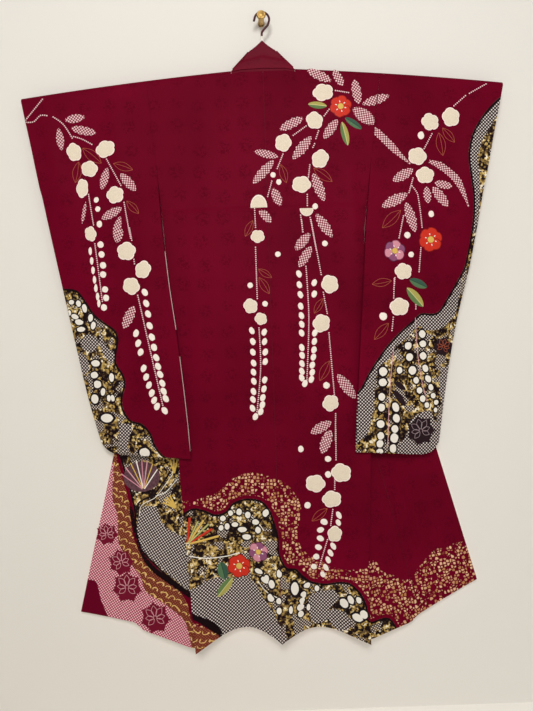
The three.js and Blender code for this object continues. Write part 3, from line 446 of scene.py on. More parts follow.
def clothPiece(name, grid, sign, flat, attributes=None, kept=None, lift=0.0, turnedIn=None):
    # A closed wall on a grid of places (x, depth, z): the outer layer and the inner layer are the grid moved
    # half the wall along its normal each way, with a rim round every open edge. flat is each place on the
    # cloth laid flat, in mm, and becomes the UV map in metres. kept says which cells are there, and turnedIn
    # where the outer silk is turned in over the lining.
    rows, columns = grid.shape[:2]
    if kept is None:
        kept = np.ones((rows - 1, columns - 1), bool)
    normal = gridNormals(grid)
    layers = [grid + normal * (lift + side * cut["wall"] / 2) for side in (1, -1)]
    points = np.concatenate([layer.reshape(-1, 3) for layer in layers])
    points = np.stack([points[:, 0] * sign, -points[:, 1], points[:, 2]], axis=1) * mm
    index = np.arange(rows * columns).reshape(rows, columns)
    inner = index + rows * columns
    corners = [(slice(None, -1), slice(None, -1)), (slice(None, -1), slice(1, None)),
               (slice(1, None), slice(1, None)), (slice(1, None), slice(None, -1))]
    outside = np.stack([index[c][kept] for c in corners], axis=1)
    inside = np.stack([inner[c][kept] for c in corners[::-1]], axis=1)
    around = np.pad(kept, 1)
    rims = []
    for (down, over), (a, b) in (((0, 1), (0, 1)), ((2, 1), (2, 3)), ((1, 0), (3, 0)), ((1, 2), (1, 2))):
        edge = kept & ~around[down:down + rows - 1, over:over + columns - 1]
        first, second = corners[a], corners[b]
        rims.append(np.stack([index[first][edge], inner[first][edge], inner[second][edge], index[second][edge]],
                             axis=1))
    faces = np.concatenate([outside, inside] + rims)
    if sign < 0:
        faces = faces[:, ::-1]
    used = np.unique(faces)
    renamed = np.zeros(len(points), int)
    renamed[used] = np.arange(len(used))
    faces = renamed[faces]
    mesh = bpy.data.meshes.new(name)
    mesh.from_pydata(points[used].tolist(), [], faces.tolist())
    uv = np.tile(flat.reshape(-1, 2) * [sign, 1], (2, 1))[used][faces.ravel()] * mm
    mesh.uv_layers.new(name="flat").data.foreach_set("uv", uv.astype(np.float32).ravel())
    within = np.zeros(rows * columns) if turnedIn is None else turnedIn.ravel()
    side = np.concatenate([np.ones(rows * columns), within])[used]
    made = dict(attributes or {})
    made["outer"] = None
    for key, values in made.items():
        layer = mesh.attributes.new(key, "FLOAT", "POINT")
        data = side if values is None else np.tile(values.ravel(), 2)[used]
        layer.data.foreach_set("value", data.astype(np.float32))
    mesh.polygons.foreach_set("use_smooth", [True] * len(mesh.polygons))
    mesh.set_sharp_from_angle(angle=math.radians(50))
    return placed(name, mesh)


# ---- body ----

body = {"neckColumns": 8, "flapCells": 14, "foldCells": 6, "sideCells": 24, "least": 0.8,
        "backRows": 230, "frontRows": 190, "rollRows": 8, "tuckRows": 9, "tuckReach": 6, "tuckClear": 0.005,
        "endRows": 1, "endClear": 4, "sagFrom": 0.75, "sagIn": 0.15, "sagFold": 0.2, "levelTo": 0.1}
overlap = {"cells": 20, "pointGap": 6, "slantFrom": -950, "slantFull": -1600}


def frontRows(side):
    # heights of the closed front's rows, evenly spaced, with two close rows at the collar's lower end
    o = outline(side)
    even = np.linspace(o["neck"][1], o["overlapHem"][1], body["frontRows"])
    end = o["seamEnd"][1]
    even = even[np.abs(even - end) > body["endClear"]]
    return np.sort(np.concatenate([even, [end + body["endRows"], end - body["endRows"]]]))[::-1]


def laidFlat(p):
    # the closed front's place on the cloth laid flat, which runs on from the back over the shoulder
    return pair(p[..., 0], 2 * topOf(0) + cut["roll"] * math.pi - p[..., 1])


def padNeck(p):
    # each row's first place again for the columns behind the neck, where the front has no cloth
    return np.concatenate([np.repeat(p[:, :1], body["neckColumns"], axis=1), p], axis=1)


def bodyBack(side, shares, neckShare, topSeam):
    # From the hem up: each row is a share of the way from the hem's line to the shoulder's, with close rows at
    # the tuck
    tuckShare = (cut["tuckZ"] - cut["topZ"]) / (side["sideRise"] - cut["topZ"])
    reach = body["tuckReach"]
    near = tuckShare + np.linspace(-reach, reach, body["tuckRows"]) / (cut["topZ"] - side["sideRise"])
    even = np.linspace(0, 1, body["backRows"])
    t = np.sort(np.concatenate([even[np.abs(even - tuckShare) > body["tuckClear"]], near]))[::-1][:, None]
    across = shares[None, :]
    onNeck = np.clip(3 * across / neckShare - 2, 0, 1)
    top = blend(cut["neckZ"], topOf(across * topSeam), onNeck)
    z = blend(top, backHem(side, across), t)
    x = np.maximum(cut["seamGap"] / 2, across * seamX(side, z))
    return stack(x, backDepth(side, x, z), z), pair(x, z)


def bodyFront(side, topSeam):
    # From the shoulder down: each row runs on the closed front from its inner edge to the side seam
    o = outline(side)
    z = frontRows(side)
    onCollar = onLine(o["neck"], o["seamEnd"], z)
    innerX = np.where(z > o["point"][1], onCollar, onLine(o["point"], o["overlapHem"], z))
    t = (z - o["neck"][1]) / (o["overlapHem"][1] - o["neck"][1])
    sideZ = blend(topOf(topSeam), backHem(side, 1.0) + cut["hemRise"], t)
    inner, outer = pair(innerX, z), pair(seamX(side, sideZ), sideZ)
    share, atFold = acrossFold(side, inner, outer, body, z)
    p = inner[:, None] + (outer - inner)[:, None] * share[..., None]
    t = t[:, None]
    # the hem sags on the body's side of the fold, and the top follows the hanger's slope
    hemSide = np.clip((atFold - share) / body["sagFold"], 0, 1)
    sag = cut["hemSag"] * smoothStep(body["sagFrom"], 1, t) * smoothStep(0, 1, hemSide)
    sag = sag * smoothStep(0, body["sagIn"], share)
    neckTop = topOf(cut["neckX"])
    level = topOf(np.maximum(p[..., 0], cut["neckX"])) - neckTop - (topOf(topSeam) - neckTop) * share
    p[..., 1] += (1 - smoothStep(0, body["levelTo"], t)) * level - sag
    return placeFront(side, p[..., 0], p[..., 1]), p


def makeBody(side):
    # one grid: the back from the hem up, the roll over the hanger, and the front down to its hem
    topSeam = float(seamX(side, topOf(cut["armX"])))
    neckShare = outline(side)["neck"][0] / topSeam
    cells = body["flapCells"] + body["foldCells"] + body["sideCells"]
    shares = np.concatenate([np.linspace(0, neckShare, body["neckColumns"] + 1),
                             np.linspace(neckShare, 1, cells + 1)[1:]])
    backGrid, backFlat = bodyBack(side, shares, neckShare, topSeam)
    rollGrid, rollFlat = rollOver(shares[None, :] * topSeam, body["rollRows"])
    frontGrid, closed = bodyFront(side, topSeam)
    beyond = np.arange(body["neckColumns"], 0, -1)[None, :, None]
    onwards = frontGrid[:, :1] + (frontGrid[:, :1] - frontGrid[:, 1:2]) * beyond
    grid = np.concatenate([backGrid, rollGrid, np.concatenate([onwards, frontGrid], axis=1)])
    flat = np.concatenate([backFlat, rollFlat, padNeck(laidFlat(closed))])
    kept = np.ones((len(grid) - 1, len(shares) - 1), bool)
    kept[len(backGrid) - 1:, :body["neckColumns"]] = False
    turned = np.zeros(grid.shape[:2], bool)
    turned[-len(frontGrid):] = isTurned(side, padNeck(closed))
    dyed, onFlap = zoneValues("back", side, grid), zoneValues("front", side, grid)
    dyed = {name: np.where(turned, onFlap[name], dyed[name]) for name in zoneNames}
    return clothPiece("body_cloth_" + side["name"], grid, side["sign"], flat, dyed, kept)


def makeOverlap(side):
    # The panel on each front's edge, from the collar's seam or the free edge to the body's seam
    o = outline(side)
    heights = frontRows(side)
    heights = heights[heights < cut["pointZ"] - overlap["pointGap"]]
    seam = pair(onLine(o["point"], o["overlapHem"], heights) - cut["seamGap"], heights)
    t = (heights - o["point"][1]) / (o["overlapHem"][1] - o["point"][1])
    toCorner = smoothStep(overlap["slantFrom"], overlap["slantFull"], heights)
    freeZ = blend(heights, blend(o["point"][1], o["corner"][1], t), toCorner)
    onEdge = pair(onLine(o["collarEnd"], o["corner"], freeZ), freeZ)
    onCollar = pair(onLine(o["neck"], o["seamEnd"], heights), heights)
    free = np.where((heights > o["seamEnd"][1])[:, None], onCollar, onEdge)
    p = blend(free[:, None], seam[:, None], np.linspace(0, 1, overlap["cells"] + 1)[None, :, None])
    grid = placeFront(side, p[..., 0], p[..., 1])
    return clothPiece("overlap_cloth_" + side["name"], grid, side["sign"], laidFlat(p),
                      zoneValues("front", side, grid))


# ---- sleeves ----

sleeve = {"columns": 56, "rows": 170, "rollRows": 8, "nearTop": 322, "farTop": 665, "armholeDrop": 90, "topDrop": 140,
          "turnIn": 18, "closer": 0.3, "wristFade": 30, "turnFrom": -300, "turnFull": -900}


def placeSleeve(side, layer, u, v):
    # u runs from the sleeve's inner edge to its outer one and v from the shoulder to the bottom edge. Two
    # layers part in the middle and come together at the sewn outer and lower edges, and the inner edge swings
    # out in front of the body's side.
    innerTop = topOf(furiX(side, topOf(sleeve["nearTop"])))
    outerTop = topOf(edgeAt(side["cuff"], topOf(sleeve["farTop"])))
    innerZ, outerZ = blend(innerTop, side["bottomInner"], v), blend(outerTop, side["bottomOuter"], v)
    above = np.clip(outerZ - side["bottomOuter"], 0, cut["corner"])
    short = cut["corner"] - np.sqrt(cut["corner"] ** 2 - (cut["corner"] - above) ** 2)
    inner, outer = furiX(side, innerZ), edgeAt(side["cuff"], outerZ) - short
    x = blend(inner, outer, u)
    topX = blend(furiX(side, innerTop), edgeAt(side["cuff"], outerTop), u)
    bottom = blend(side["bottomInner"], side["bottomOuter"], u)
    z = blend(topOf(topX), bottom, v)
    fromTop = topOf(topX) - z
    wrist = smoothStep(cut["wrist"] + sleeve["wristFade"], cut["wrist"], fromTop)
    fromOuter = np.sin(np.clip((outer - inner) * (1 - u) / cut["sewnRun"], 0, 1) * math.pi / 2)
    fromBottom = np.sin(np.clip((z - bottom) / cut["sewnRun"], 0, 1) * math.pi / 2)
    armhole = smoothStep(cut["armholeZ"] - sleeve["armholeDrop"], cut["armholeZ"] + 10, z) * smoothStep(0.75, 0.1, u)
    wide = blend(cut["halfOpen"], cut["roll"], np.maximum(armhole, smoothStep(sleeve["topDrop"], 0, fromTop)))
    gap = cut["sewn"] / 2 + (wide - cut["sewn"] / 2) * np.maximum(fromOuter, wrist) * fromBottom
    lift = cut["innerLift"] * smoothStep(cut["armholeZ"] - 8, cut["freeZ"], z) * (1 - u) ** 0.8
    turn = side["outerTurn"] * smoothStep(sleeve["turnFrom"], sleeve["turnFull"], z) * u * u
    # creases die away towards all four edges
    inside = smoothStep(0, 0.1, u) * smoothStep(0, 0.1, 1 - u) * smoothStep(0, 60, fromTop)
    soft = relief("sleeve", side, x, z) * (inside * smoothStep(0, 50, z - bottom))
    return stack(x, cut["shoulderDepth"] + lift - turn + soft + layer * gap, z)


def makeSleeve(side):
    # one grid: the outer layer from the bottom up, the roll over the hanger, and the wall side's layer down
    u = np.linspace(0, 1, sleeve["columns"] + 1)[None, :]
    t = np.linspace(0, 1, sleeve["rows"] + 1)[:, None]
    v = blend(t, np.sin(t * math.pi / 2), sleeve["closer"])
    outside, wallSide = placeSleeve(side, 1, u, v[::-1]), placeSleeve(side, -1, u, v)
    topX = outside[-1:, :, 0]
    rollGrid, rollFlat = rollOver(topX, sleeve["rollRows"])
    grid = np.concatenate([outside, rollGrid, wallSide])
    over = 2 * topOf(topX) + cut["roll"] * math.pi
    flat = np.concatenate([outside[..., ::2], rollFlat, pair(wallSide[..., 0], over - wallSide[..., 2])])
    x, z = grid[..., 0], grid[..., 2]
    turnedIn = x < furiX(side, z) + sleeve["turnIn"]
    for top, bottom in side["liningShows"]:
        turnedIn &= (z > top) | (z < bottom)
    return clothPiece("sleeve_cloth_" + side["name"], grid, side["sign"], flat, zoneValues("sleeve", side, grid),
                      turnedIn=turnedIn)


# ---- collar ----

collar = {"seamX": 87, "apexX": 33, "apexZ": -98, "peakZ": -72, "peakDepth": 42.5, "frontDepth": 21,
          "apexSwing": 1.2, "apexLift": 3, "apexDrop": 6, "neckDip": 1.5,
          "crease": 2.6, "creaseAt": 0.44, "creaseLead": 0.03, "creaseRun": 0.09, "creaseHold": 0.1,
          "creaseFade": 0.3, "sewnIn": 0.7, "coverGap": 0.7, "coverEnd": -560, "coverTrim": 2,
          "neckRows": 24, "rollRows": 12, "bridgeRows": 6, "legRows": 200, "legTop": -178, "width": 110,
          "flapCells": 9, "foldCells": 6, "sideCells": 7, "least": 0.6}


def collarRows(side, endZ):
    # Half the collar from the centre back: straight rows from its seam to its free edge behind the neck, a
    # turn over the shoulder, and the leg on the closed front, folded outwards with it
    o = outline(side)
    cells = collar["flapCells"] + collar["foldCells"] + collar["sideCells"]
    w = np.linspace(0, 1, cells + 1)[None, :, None]
    seamDepth = cut["backDepth"] + cut["tuckStep"]
    shoulderS, shoulderT = topOf(cut["neckX"]) + cut["seamGap"], collar["apexZ"]
    t = np.linspace(0, 1, collar["neckRows"])[:, None]
    drop = smoothStep(2 / 3, 1, t)
    s = np.hstack([collar["seamX"] * t, seamDepth + 0 * t, blend(cut["neckZ"] + cut["seamGap"], shoulderS, drop)])
    free = np.hstack([collar["apexX"] * t, collar["peakDepth"] - collar["neckDip"] * t,
                      blend(collar["peakZ"], shoulderT, t) - collar["neckDip"] * np.sin(math.pi * t)])
    neck = blend(s[:, None], free[:, None], w)
    # the fold along the middle stands back, less so towards the shoulder
    at = collar["creaseAt"]
    behind = smoothStep(at - collar["creaseLead"], at + collar["creaseRun"], w[..., 0])
    settled = 1 - smoothStep(at + collar["creaseHold"], 1, w[..., 0])
    neck[..., 1] -= collar["crease"] * (1 - collar["creaseFade"] * t) * behind * settled
    angle = math.pi * np.arange(1, collar["rollRows"] + 1)[:, None] / collar["rollRows"]
    s = np.hstack([collar["seamX"] + 0 * angle, cut["shoulderDepth"] + cut["roll"] * np.cos(angle),
                   topOf(cut["neckX"]) + cut["seamGap"] * np.cos(angle) + cut["roll"] * np.sin(angle)])
    free = np.hstack([collar["apexX"] + collar["apexSwing"] * np.sin(angle),
                      blend(collar["peakDepth"] - collar["neckDip"], collar["frontDepth"], (1 - np.cos(angle)) / 2),
                      collar["apexZ"] + collar["apexLift"] * np.sin(angle) - collar["apexDrop"] * angle / math.pi])
    roll = blend(s[:, None], free[:, None], w)
    z = np.linspace(collar["legTop"], max(endZ, o["seamEnd"][1] + 2), collar["legRows"])
    seam = pair(onLine(o["neck"], o["seamEnd"], z) - collar["sewnIn"], z)
    share = ((z - o["neck"][1]) / (o["seamEnd"][1] - o["neck"][1]))[:, None]
    edge = blend(o["collarTop"], o["collarEnd"], share)
    shares, _ = acrossFold(side, edge, seam, collar, z)
    p = edge[:, None] + (seam - edge)[:, None] * shares[:, ::-1, None]
    leg = placeFront(side, p[..., 0], p[..., 1])
    bridge = blend(roll[-1:], leg[:1], np.linspace(0, 1, collar["bridgeRows"] + 2)[1:-1, None, None])
    return np.concatenate([neck, roll, bridge, leg])


def makeCollar(name, endZ, lift=0.0, trim=0):
    # both halves joined behind the neck; a cover lies `lift` mm off the band, `trim` cells in from its edges
    halves = [collarRows(side, endZ) * [side["sign"], 1, 1] for side in (left, right)]
    grid = np.concatenate([halves[0][:0:-1], halves[1]])[:, ::-1]
    grid = grid[:, trim:grid.shape[1] - trim]
    middle = grid[:, grid.shape[1] // 2]
    along = np.concatenate([[0], np.cumsum(np.linalg.norm(np.diff(middle, axis=0), axis=1))])
    across = np.linspace(0, collar["width"], grid.shape[1])
    flat = np.stack(np.broadcast_arrays(across[None, :], along[:, None]), axis=-1)
    return clothPiece(name, grid, 1, flat, lift=lift)


cloths = {}
for side in (left, right):
    for make, node in ((makeBody, "body"), (makeOverlap, "overlap"), (makeSleeve, "sleeve")):
        piece = make(side)
        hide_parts(node + "_" + side["name"])
        cloths[piece.name] = piece
coverLift = cut["wall"] + collar["coverGap"]
for node, *arguments in (("collar", -math.inf), ("collar_cover", collar["coverEnd"], coverLift, collar["coverTrim"])):
    piece = makeCollar(node + "_cloth", *arguments)
    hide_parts(node)
    cloths[piece.name] = piece
print("cloth pieces", {name: len(piece.data.polygons) for name, piece in cloths.items()})


# ---- cloth, thread and metal finishes ----

def add(tree, kind, inputs=None, output=0, ramp=None, **settings):
    # one node with its settings, its inputs set or linked, and the output that the next one reads
    node = tree.nodes.new("ShaderNode" + kind)
    for key, value in settings.items():
        setattr(node, key, value)
    for key, value in (inputs or {}).items():
        if isinstance(value, bpy.types.NodeSocket):
            tree.links.new(value, node.inputs[key])
        else:
            node.inputs[key].default_value = value
    if ramp:
        stops = node.color_ramp.elements
        while len(stops) < len(ramp):
            stops.new(1.0)
        for stop, (place, colour) in zip(stops, ramp):
            stop.position, stop.color = place, linear(colour)
    return node.outputs[output] if node.outputs else None


def maths(tree, operation, *values):
    # one operation on numbers or sockets
    return add(tree, "Math", dict(enumerate(values)), operation=operation)


def times(tree, a, b):
    return maths(tree, "MULTIPLY", a, b)


def vectors(tree, operation, *values, output=0):
    # one operation on vectors
    return add(tree, "VectorMath", dict(enumerate(values)), output, operation=operation)


def span(tree, value, start, end, low=0.0, high=1.0):
    # from low to high as the value goes from start to end, and held there
    return add(tree, "MapRange", {"Value": value, "From Min": start, "From Max": end, "To Min": low,
                                  "To Max": high})


def noise(tree, place, scale, **inputs):
    return add(tree, "TexNoise", {"Vector": place, "Scale": scale, **inputs})


def shards(tree, place, scale, randomness, output=0, **settings):
    # cells round scattered points, by default as the distance to each cell's point
    return add(tree, "TexVoronoi", {"Vector": place, "Scale": scale, "Randomness": randomness}, output, **settings)


def bump(tree, height, strength, distance):
    return add(tree, "Bump", {"Height": height, "Strength": strength, "Distance": distance})


def laid(tree):
    # the place on the cloth laid flat, or on a motif, in metres
    return add(tree, "UVMap", uv_map="flat")


def stored(tree, name):
    # the value that the mesh keeps under the name
    return add(tree, "Attribute", output="Fac", attribute_name=name)


def finish(name, make):
    # a material whose nodes come from make(tree), which gives the inputs of its Principled shader
    material = bpy.data.materials.new(name)
    material.use_nodes = True
    tree = material.node_tree
    tree.nodes.clear()
    add(tree, "OutputMaterial", {"Surface": add(tree, "BsdfPrincipled", make(tree))})
    return material


def paint(tree, colour, layers):
    # each layer's colour over what is below it, by its mask
    for mask, over in layers:
        colour = add(tree, "Mix", {0: mask, 6: colour, 7: over}, output=2, data_type="RGBA")
    return colour


def edge(tree, distance, at=0.0, soft=0.8):
    # 1 where the distance is past `at` mm
    return span(tree, distance, at - soft, at + soft)


def dotGrid(tree, place, pitch, radius, soft=0.09):
    # dots on a square grid turned by 45 degrees, `pitch` mm apart: 1 within `radius` of each cell's middle
    cell = add(tree, "Mapping", {"Vector": place, "Scale": [1000 / pitch] * 3, "Rotation": (0, 0, math.pi / 4)})
    off = vectors(tree, "SUBTRACT", vectors(tree, "FRACTION", cell), (0.5, 0.5, 0))
    return span(tree, vectors(tree, "LENGTH", off, output="Value"), radius + soft, radius - soft)


def crepe(tree, place, strength=0.25):
    # twisted silk threads, about 1.2 mm from crest to crest, drawn a little coarse so that they show
    return bump(tree, noise(tree, place, 820.0, Detail=2.0, Roughness=0.6), strength, 0.0006)


silk = {name: linear(colour) for name, colour in {
    "crimson": "#6a0420", "deep": "#5a0219", "damask": "#4d0215", "plain": "#60041f", "lining": "#ead5cf",
    "black": "#170b0e", "wave": "#d7b06c", "sheen": "#e07a90"}.items()}


def damaskGround(tree, place):
    # crimson silk: slow dye variation, and faint woven sprays about 40 mm across in rows, whose floats catch
    # less light
    slow = noise(tree, place, 3.2, Detail=2.0)
    colour = paint(tree, silk["crimson"], [(edge(tree, slow, 0.52, 0.2), silk["deep"])])
    inSpray = span(tree, shards(tree, place, 16.0, 0.25), 0.4, 0.26, 0.0, 0.5)
    marks = noise(tree, place, 150.0, Detail=1.0, Distortion=1.0)
    woven = times(tree, inSpray, edge(tree, marks, 0.53, 0.03))
    return paint(tree, colour, [(woven, silk["damask"])]), woven


def leafFlakes(tree, place):
    # many-sided gold leaf flakes, about 6 mm, with a few left out: where they are, and each one's own tone
    tone = add(tree, "SeparateXYZ", {0: shards(tree, place, 112.0, 0.6, "Color")}, output=0)
    gaps = shards(tree, place, 112.0, 0.6, feature="DISTANCE_TO_EDGE")
    flake = times(tree, span(tree, gaps, 0.14, 0.19), edge(tree, tone, 0.07, 0.02))
    return flake, add(tree, "ValToRGB", {"Fac": tone}, ramp=[(0.2, "#ad774a"), (0.5, "#cb9873"), (0.85, "#dfb58c")])


def crumbledGold(tree, place):
    # crumbled gold leaf on black and brown: each crumb's own random tone, pushed lighter or darker in patches,
    # and small patches of pale tie-dyed dots between the crumbs
    patchy = span(tree, noise(tree, place, 34.0, Detail=3.0, Distortion=0.8), 0.3, 0.7, -0.42, 0.4)
    value = maths(tree, "ADD", shards(tree, place, 180.0, 1.0, "Color"), patchy)
    gold = add(tree, "ValToRGB", {"Fac": value}, ramp=[
        (0.0, "#1b1112"), (0.34, "#33241b"), (0.46, "#5e4a31"), (0.56, "#8a7040"), (0.68, "#b0914f"),
        (0.8, "#cdb272"), (0.92, "#e9dfc8")])
    gold.node.color_ramp.interpolation = "CONSTANT"
    dotted = edge(tree, noise(tree, place, 27.0, Detail=1.0, Distortion=0.5), 0.585, 0.01)
    return paint(tree, gold, [(dotted, kanoko(tree, place, 5.8, 0.3, "#2b1c1c", "#d8cbbd"))])


def kanoko(tree, place, pitch, radius, ground, dot):
    # tie-dyed dots on their ground, drawn a millimetre coarser than the real 5 mm so that they show
    return paint(tree, linear(ground), [(dotGrid(tree, place, pitch, radius), linear(dot))])


def goldArcs(tree, place):
    # the upper halves of wobbling rings in rows, 20 mm apart
    cell = add(tree, "Mapping", {"Vector": place, "Scale": (40.0, 50.0, 1.0), "Rotation": (0, 0, 0.3)})
    wobble = add(tree, "TexNoise", {"Vector": cell, "Scale": 0.9}, output="Color")
    cell = vectors(tree, "FRACTION", vectors(tree, "ADD", cell, wobble))
    off = vectors(tree, "SUBTRACT", cell, (0.5, 0.42, 0.5))
    ring = maths(tree, "COMPARE", vectors(tree, "LENGTH", off, output="Value"), 0.36, 0.065)
    return times(tree, ring, edge(tree, add(tree, "SeparateXYZ", {0: off}, output=1), 0.02, -0.03))


def printedSilk(tree):
    # crepe silk, woven, then tie-dyed, stencilled and laid with gold leaf: satin, with a soft sheen from the side
    place = laid(tree)
    zone = {name: stored(tree, name) for name in zoneNames}
    ragged = span(tree, noise(tree, place, 260.0, Detail=1.0), 0.0, 1.0, -3.0, 3.0)
    rough = {name: maths(tree, "ADD", zone[name], ragged) for name in ("flake", "pink", "brown", "grey", "black")}
    ground, woven = damaskGround(tree, place)
    flake, leafTone = leafFlakes(tree, place)
    # the mm outside the dark zone: flakes keep clear of it, and its outline is a black band a few mm wide
    clear = maths(tree, "SUBTRACT", 0.0, zone["dark"])
    flake = times(tree, times(tree, edge(tree, rough["flake"]), edge(tree, clear, 9.5)), flake)
    outlined = times(tree, edge(tree, zone["dark"], -0.5), edge(tree, clear, -5.0))
    brown = kanoko(tree, place, 5.5, 0.2, "#6b2b20", "#a87050")
    colour = paint(tree, ground, [
        (flake, leafTone), (edge(tree, rough["pink"]), kanoko(tree, place, 6.0, 0.31, "#9b2c49", "#f0cdd0")),
        (edge(tree, zone["crimson"]), silk["plain"]),
        (edge(tree, rough["brown"]), paint(tree, brown, [(goldArcs(tree, place), silk["wave"])])),
        (edge(tree, zone["dark"]), crumbledGold(tree, place)),
        (times(tree, edge(tree, rough["grey"]), edge(tree, zone["dark"])),
         kanoko(tree, place, 6.6, 0.29, "#2b1b1f", "#e2d8d0")),
        (outlined, silk["black"]), (edge(tree, rough["black"]), silk["black"])])
    inside = maths(tree, "SUBTRACT", 1.0, stored(tree, "outer"))
    colour = paint(tree, colour, [(edge(tree, inside, 0.88, 0.08), silk["lining"])])
    return {"Base Color": colour, "Roughness": span(tree, woven, 0.0, 1.0, 0.56, 0.7), "Specular IOR Level": 0.02,
            "Sheen Weight": 0.02, "Sheen Roughness": 0.45, "Sheen Tint": silk["sheen"],
            "Normal": crepe(tree, place)}


def collarSilk(tree):
    # the same crimson crepe without dyed work, folded and pressed, so a little flatter
    place = laid(tree)
    roughness = span(tree, stored(tree, "outer"), 0.0, 1.0, 0.62, 0.56)
    return {"Base Color": damaskGround(tree, place)[0], "Roughness": roughness, "Specular IOR Level": 0.08,
            "Sheen Weight": 0.03, "Sheen Roughness": 0.45, "Sheen Tint": silk["sheen"],
            "Normal": crepe(tree, place, 0.2)}


def thread(name, inner, mottle, scale, rim=None, rimAt=0.9, roughness=0.62, sheen=0.02):
    # couched or tie-dyed motif: one colour with a mottle from its threads, and another at its rim
    def make(tree):
        speckle = noise(tree, laid(tree), scale, Detail=2.0, Roughness=0.65)
        shade = [v * 0.5 for v in linear(inner)[:3]] + [1.0]
        colour = paint(tree, linear(inner), [(span(tree, speckle, 0.35, 0.75, 0.0, mottle * 6), shade)])
        if rim:
            colour = paint(tree, colour, [(edge(tree, stored(tree, "reach"), rimAt, 0.02), linear(rim))])
        return {"Base Color": colour, "Roughness": roughness, "Specular IOR Level": 0.08, "Sheen Weight": sheen,
                "Normal": bump(tree, speckle, 0.5, 0.0008)}
    return finish(name, make)


def kanokoLeaf(tree):
    # tie-dyed dots in slanting rows on the crimson, each a puckered pale ring; 6 mm apart, coarser than the real
    # 4.8 mm so that they show
    dots = dotGrid(tree, laid(tree), 6.2, 0.36)
    colour = paint(tree, linear("#7a1630"), [(dots, linear("#eccaca"))])
    return {"Base Color": colour, "Roughness": 0.62, "Specular IOR Level": 0.08,
            "Normal": bump(tree, dots, 0.5, 0.0008)}


def twoToned(name, upper, lower, vein):
    # satin-stitched leaf: one tone on each side of a midrib, with fine slanting threads
    def make(tree):
        place = laid(tree)
        across = add(tree, "SeparateXYZ", {0: place}, output=1)
        midrib = span(tree, maths(tree, "ABSOLUTE", across), 0.0012, 0.0004)
        colour = paint(tree, linear(lower), [(span(tree, across, -0.0008, 0.0008), linear(upper)),
                                             (midrib, linear(vein))])
        stitches = add(tree, "TexWave", {"Vector": place, "Scale": 260.0, "Distortion": 1.5},
                       bands_direction="DIAGONAL")
        return {"Base Color": colour, "Roughness": 0.5, "Specular IOR Level": 0.2,
                "Normal": bump(tree, stitches, 0.4, 0.0006)}
    return finish(name, make)


def hard(name, colour, worn, roughness, way):
    # a hard skin with faint patches of a second tone, which are rougher
    def make(tree):
        patchy = noise(tree, add(tree, "TexCoord", output="Object"), way["scale"], Detail=way["detail"])
        base = paint(tree, linear(colour), [(edge(tree, patchy, way["from"], way["soft"]), linear(worn))])
        rough = span(tree, patchy, 0.0, 1.0, roughness, roughness + way["rougher"])
        return {"Base Color": base, "Metallic": way["metallic"], "Roughness": rough}
    return finish(name, make)


printed = finish("crepe_silk_tie_dyed", printedSilk)
plainSilk = finish("crepe_silk_crimson", collarSilk)
threads = {
    "blossom": thread("tie_dyed_cream_silk", "#e2d4bd", 0.05, 240.0, "#f2dfd6"),
    "bud": thread("tie_dyed_white_silk", "#f0e8db", 0.04, 320.0, "#d59aa0", 0.93),
    "oval": thread("tie_dyed_outlined_silk", "#e9e2d6", 0.03, 320.0, "#180d10", 0.7),
    "dot": thread("pale_pink_dot_silk", "#ecc6c8", 0.03, 500.0),
    "leaf": finish("tie_dyed_pink_silk", kanokoLeaf),
    "rust": thread("couched_rust_thread", "#a8553c", 0.05, 900.0, roughness=0.5),
    "red": thread("red_floss_silk", "#c9301f", 0.05, 420.0, "#861611", 0.86, 0.45),
    "pinkFloss": thread("pink_floss_silk", "#d08c9a", 0.05, 420.0, "#7d3150", 0.86, 0.45),
    "plum": thread("plum_floss_silk", "#8a4f70", 0.05, 420.0, "#4a2039", 0.86, 0.45),
    "gold": thread("gold_wrapped_thread", "#d9b45a", 0.06, 700.0, "#9c7430", 0.9, 0.38, 0.0),
    "black": thread("black_floss_silk", "#1a0d11", 0.02, 500.0, roughness=0.5),
    "pale": thread("pale_pink_floss", "#d9a0a6", 0.03, 500.0),
    "maroon": thread("dark_maroon_silk", "#6c0b26", 0.02, 300.0),
    "ash": thread("ash_floss_silk", "#a08b90", 0.03, 500.0),
    # a darker crimson laid along seams: painted shade in the seam's groove
    "seam": thread("crimson_seam_silk", "#58041a", 0.02, 300.0),
    "dusk": thread("black_brown_silk", "#241419", 0.02, 300.0),
    "plumWash": thread("plum_wash_silk", "#66454d", 0.22, 130.0),
    "green": twoToned("green_floss_silk", "#2f5240", "#4c6e4a", "#1d3328"),
    "fresh": twoToned("fresh_green_floss", "#a39c4e", "#5c7743", "#cfc487"),
    "white": thread("white_floss_silk", "#f2ece2", 0.03, 600.0),
}
print("finishes", len(bpy.data.materials))


# ---- motifs laid on the cloth ----

# Places on the hung cloth, in mm. Blossoms and ovals: x, z, width, height, turn in degrees. Buds: runs of the
# width, height and turn, then each one's x and z. Leaves: x and z of both ends, and for dotted ones the width.
blossoms = {
    "back": """163,-222,55,49,10 137,-298,47,47,40 49,-357,47,47,0 149,-404,51,47,60 95,-473,51,47,20
        -30,-611,37,37,30 -56,-802,40,40,15 -29,-838,34,34,50 164,-749,49,49,0 137,-856,49,49,35 155,-1076,45,45,10
        178,-1269,54,52,40 106,-1297,54,50,5 150,-1342,54,46,25 155,-1439,44,40,60""",
    "sleeve": """-528,-361,41,50,5 -440,-357,54,47,30 -487,-409,47,44,10 -508,-462,34,52,0 -416,-486,50,47,50
        -487,-590,33,41,20 -388,-643,54,48,10 -344,-695,48,44,45 -378,-738,48,46,0 513,-300,50,50,20
        455,-312,48,48,50 416,-406,50,50,0 435,-459,50,48,35 363,-723,46,46,10 349,-819,54,49,25"""}
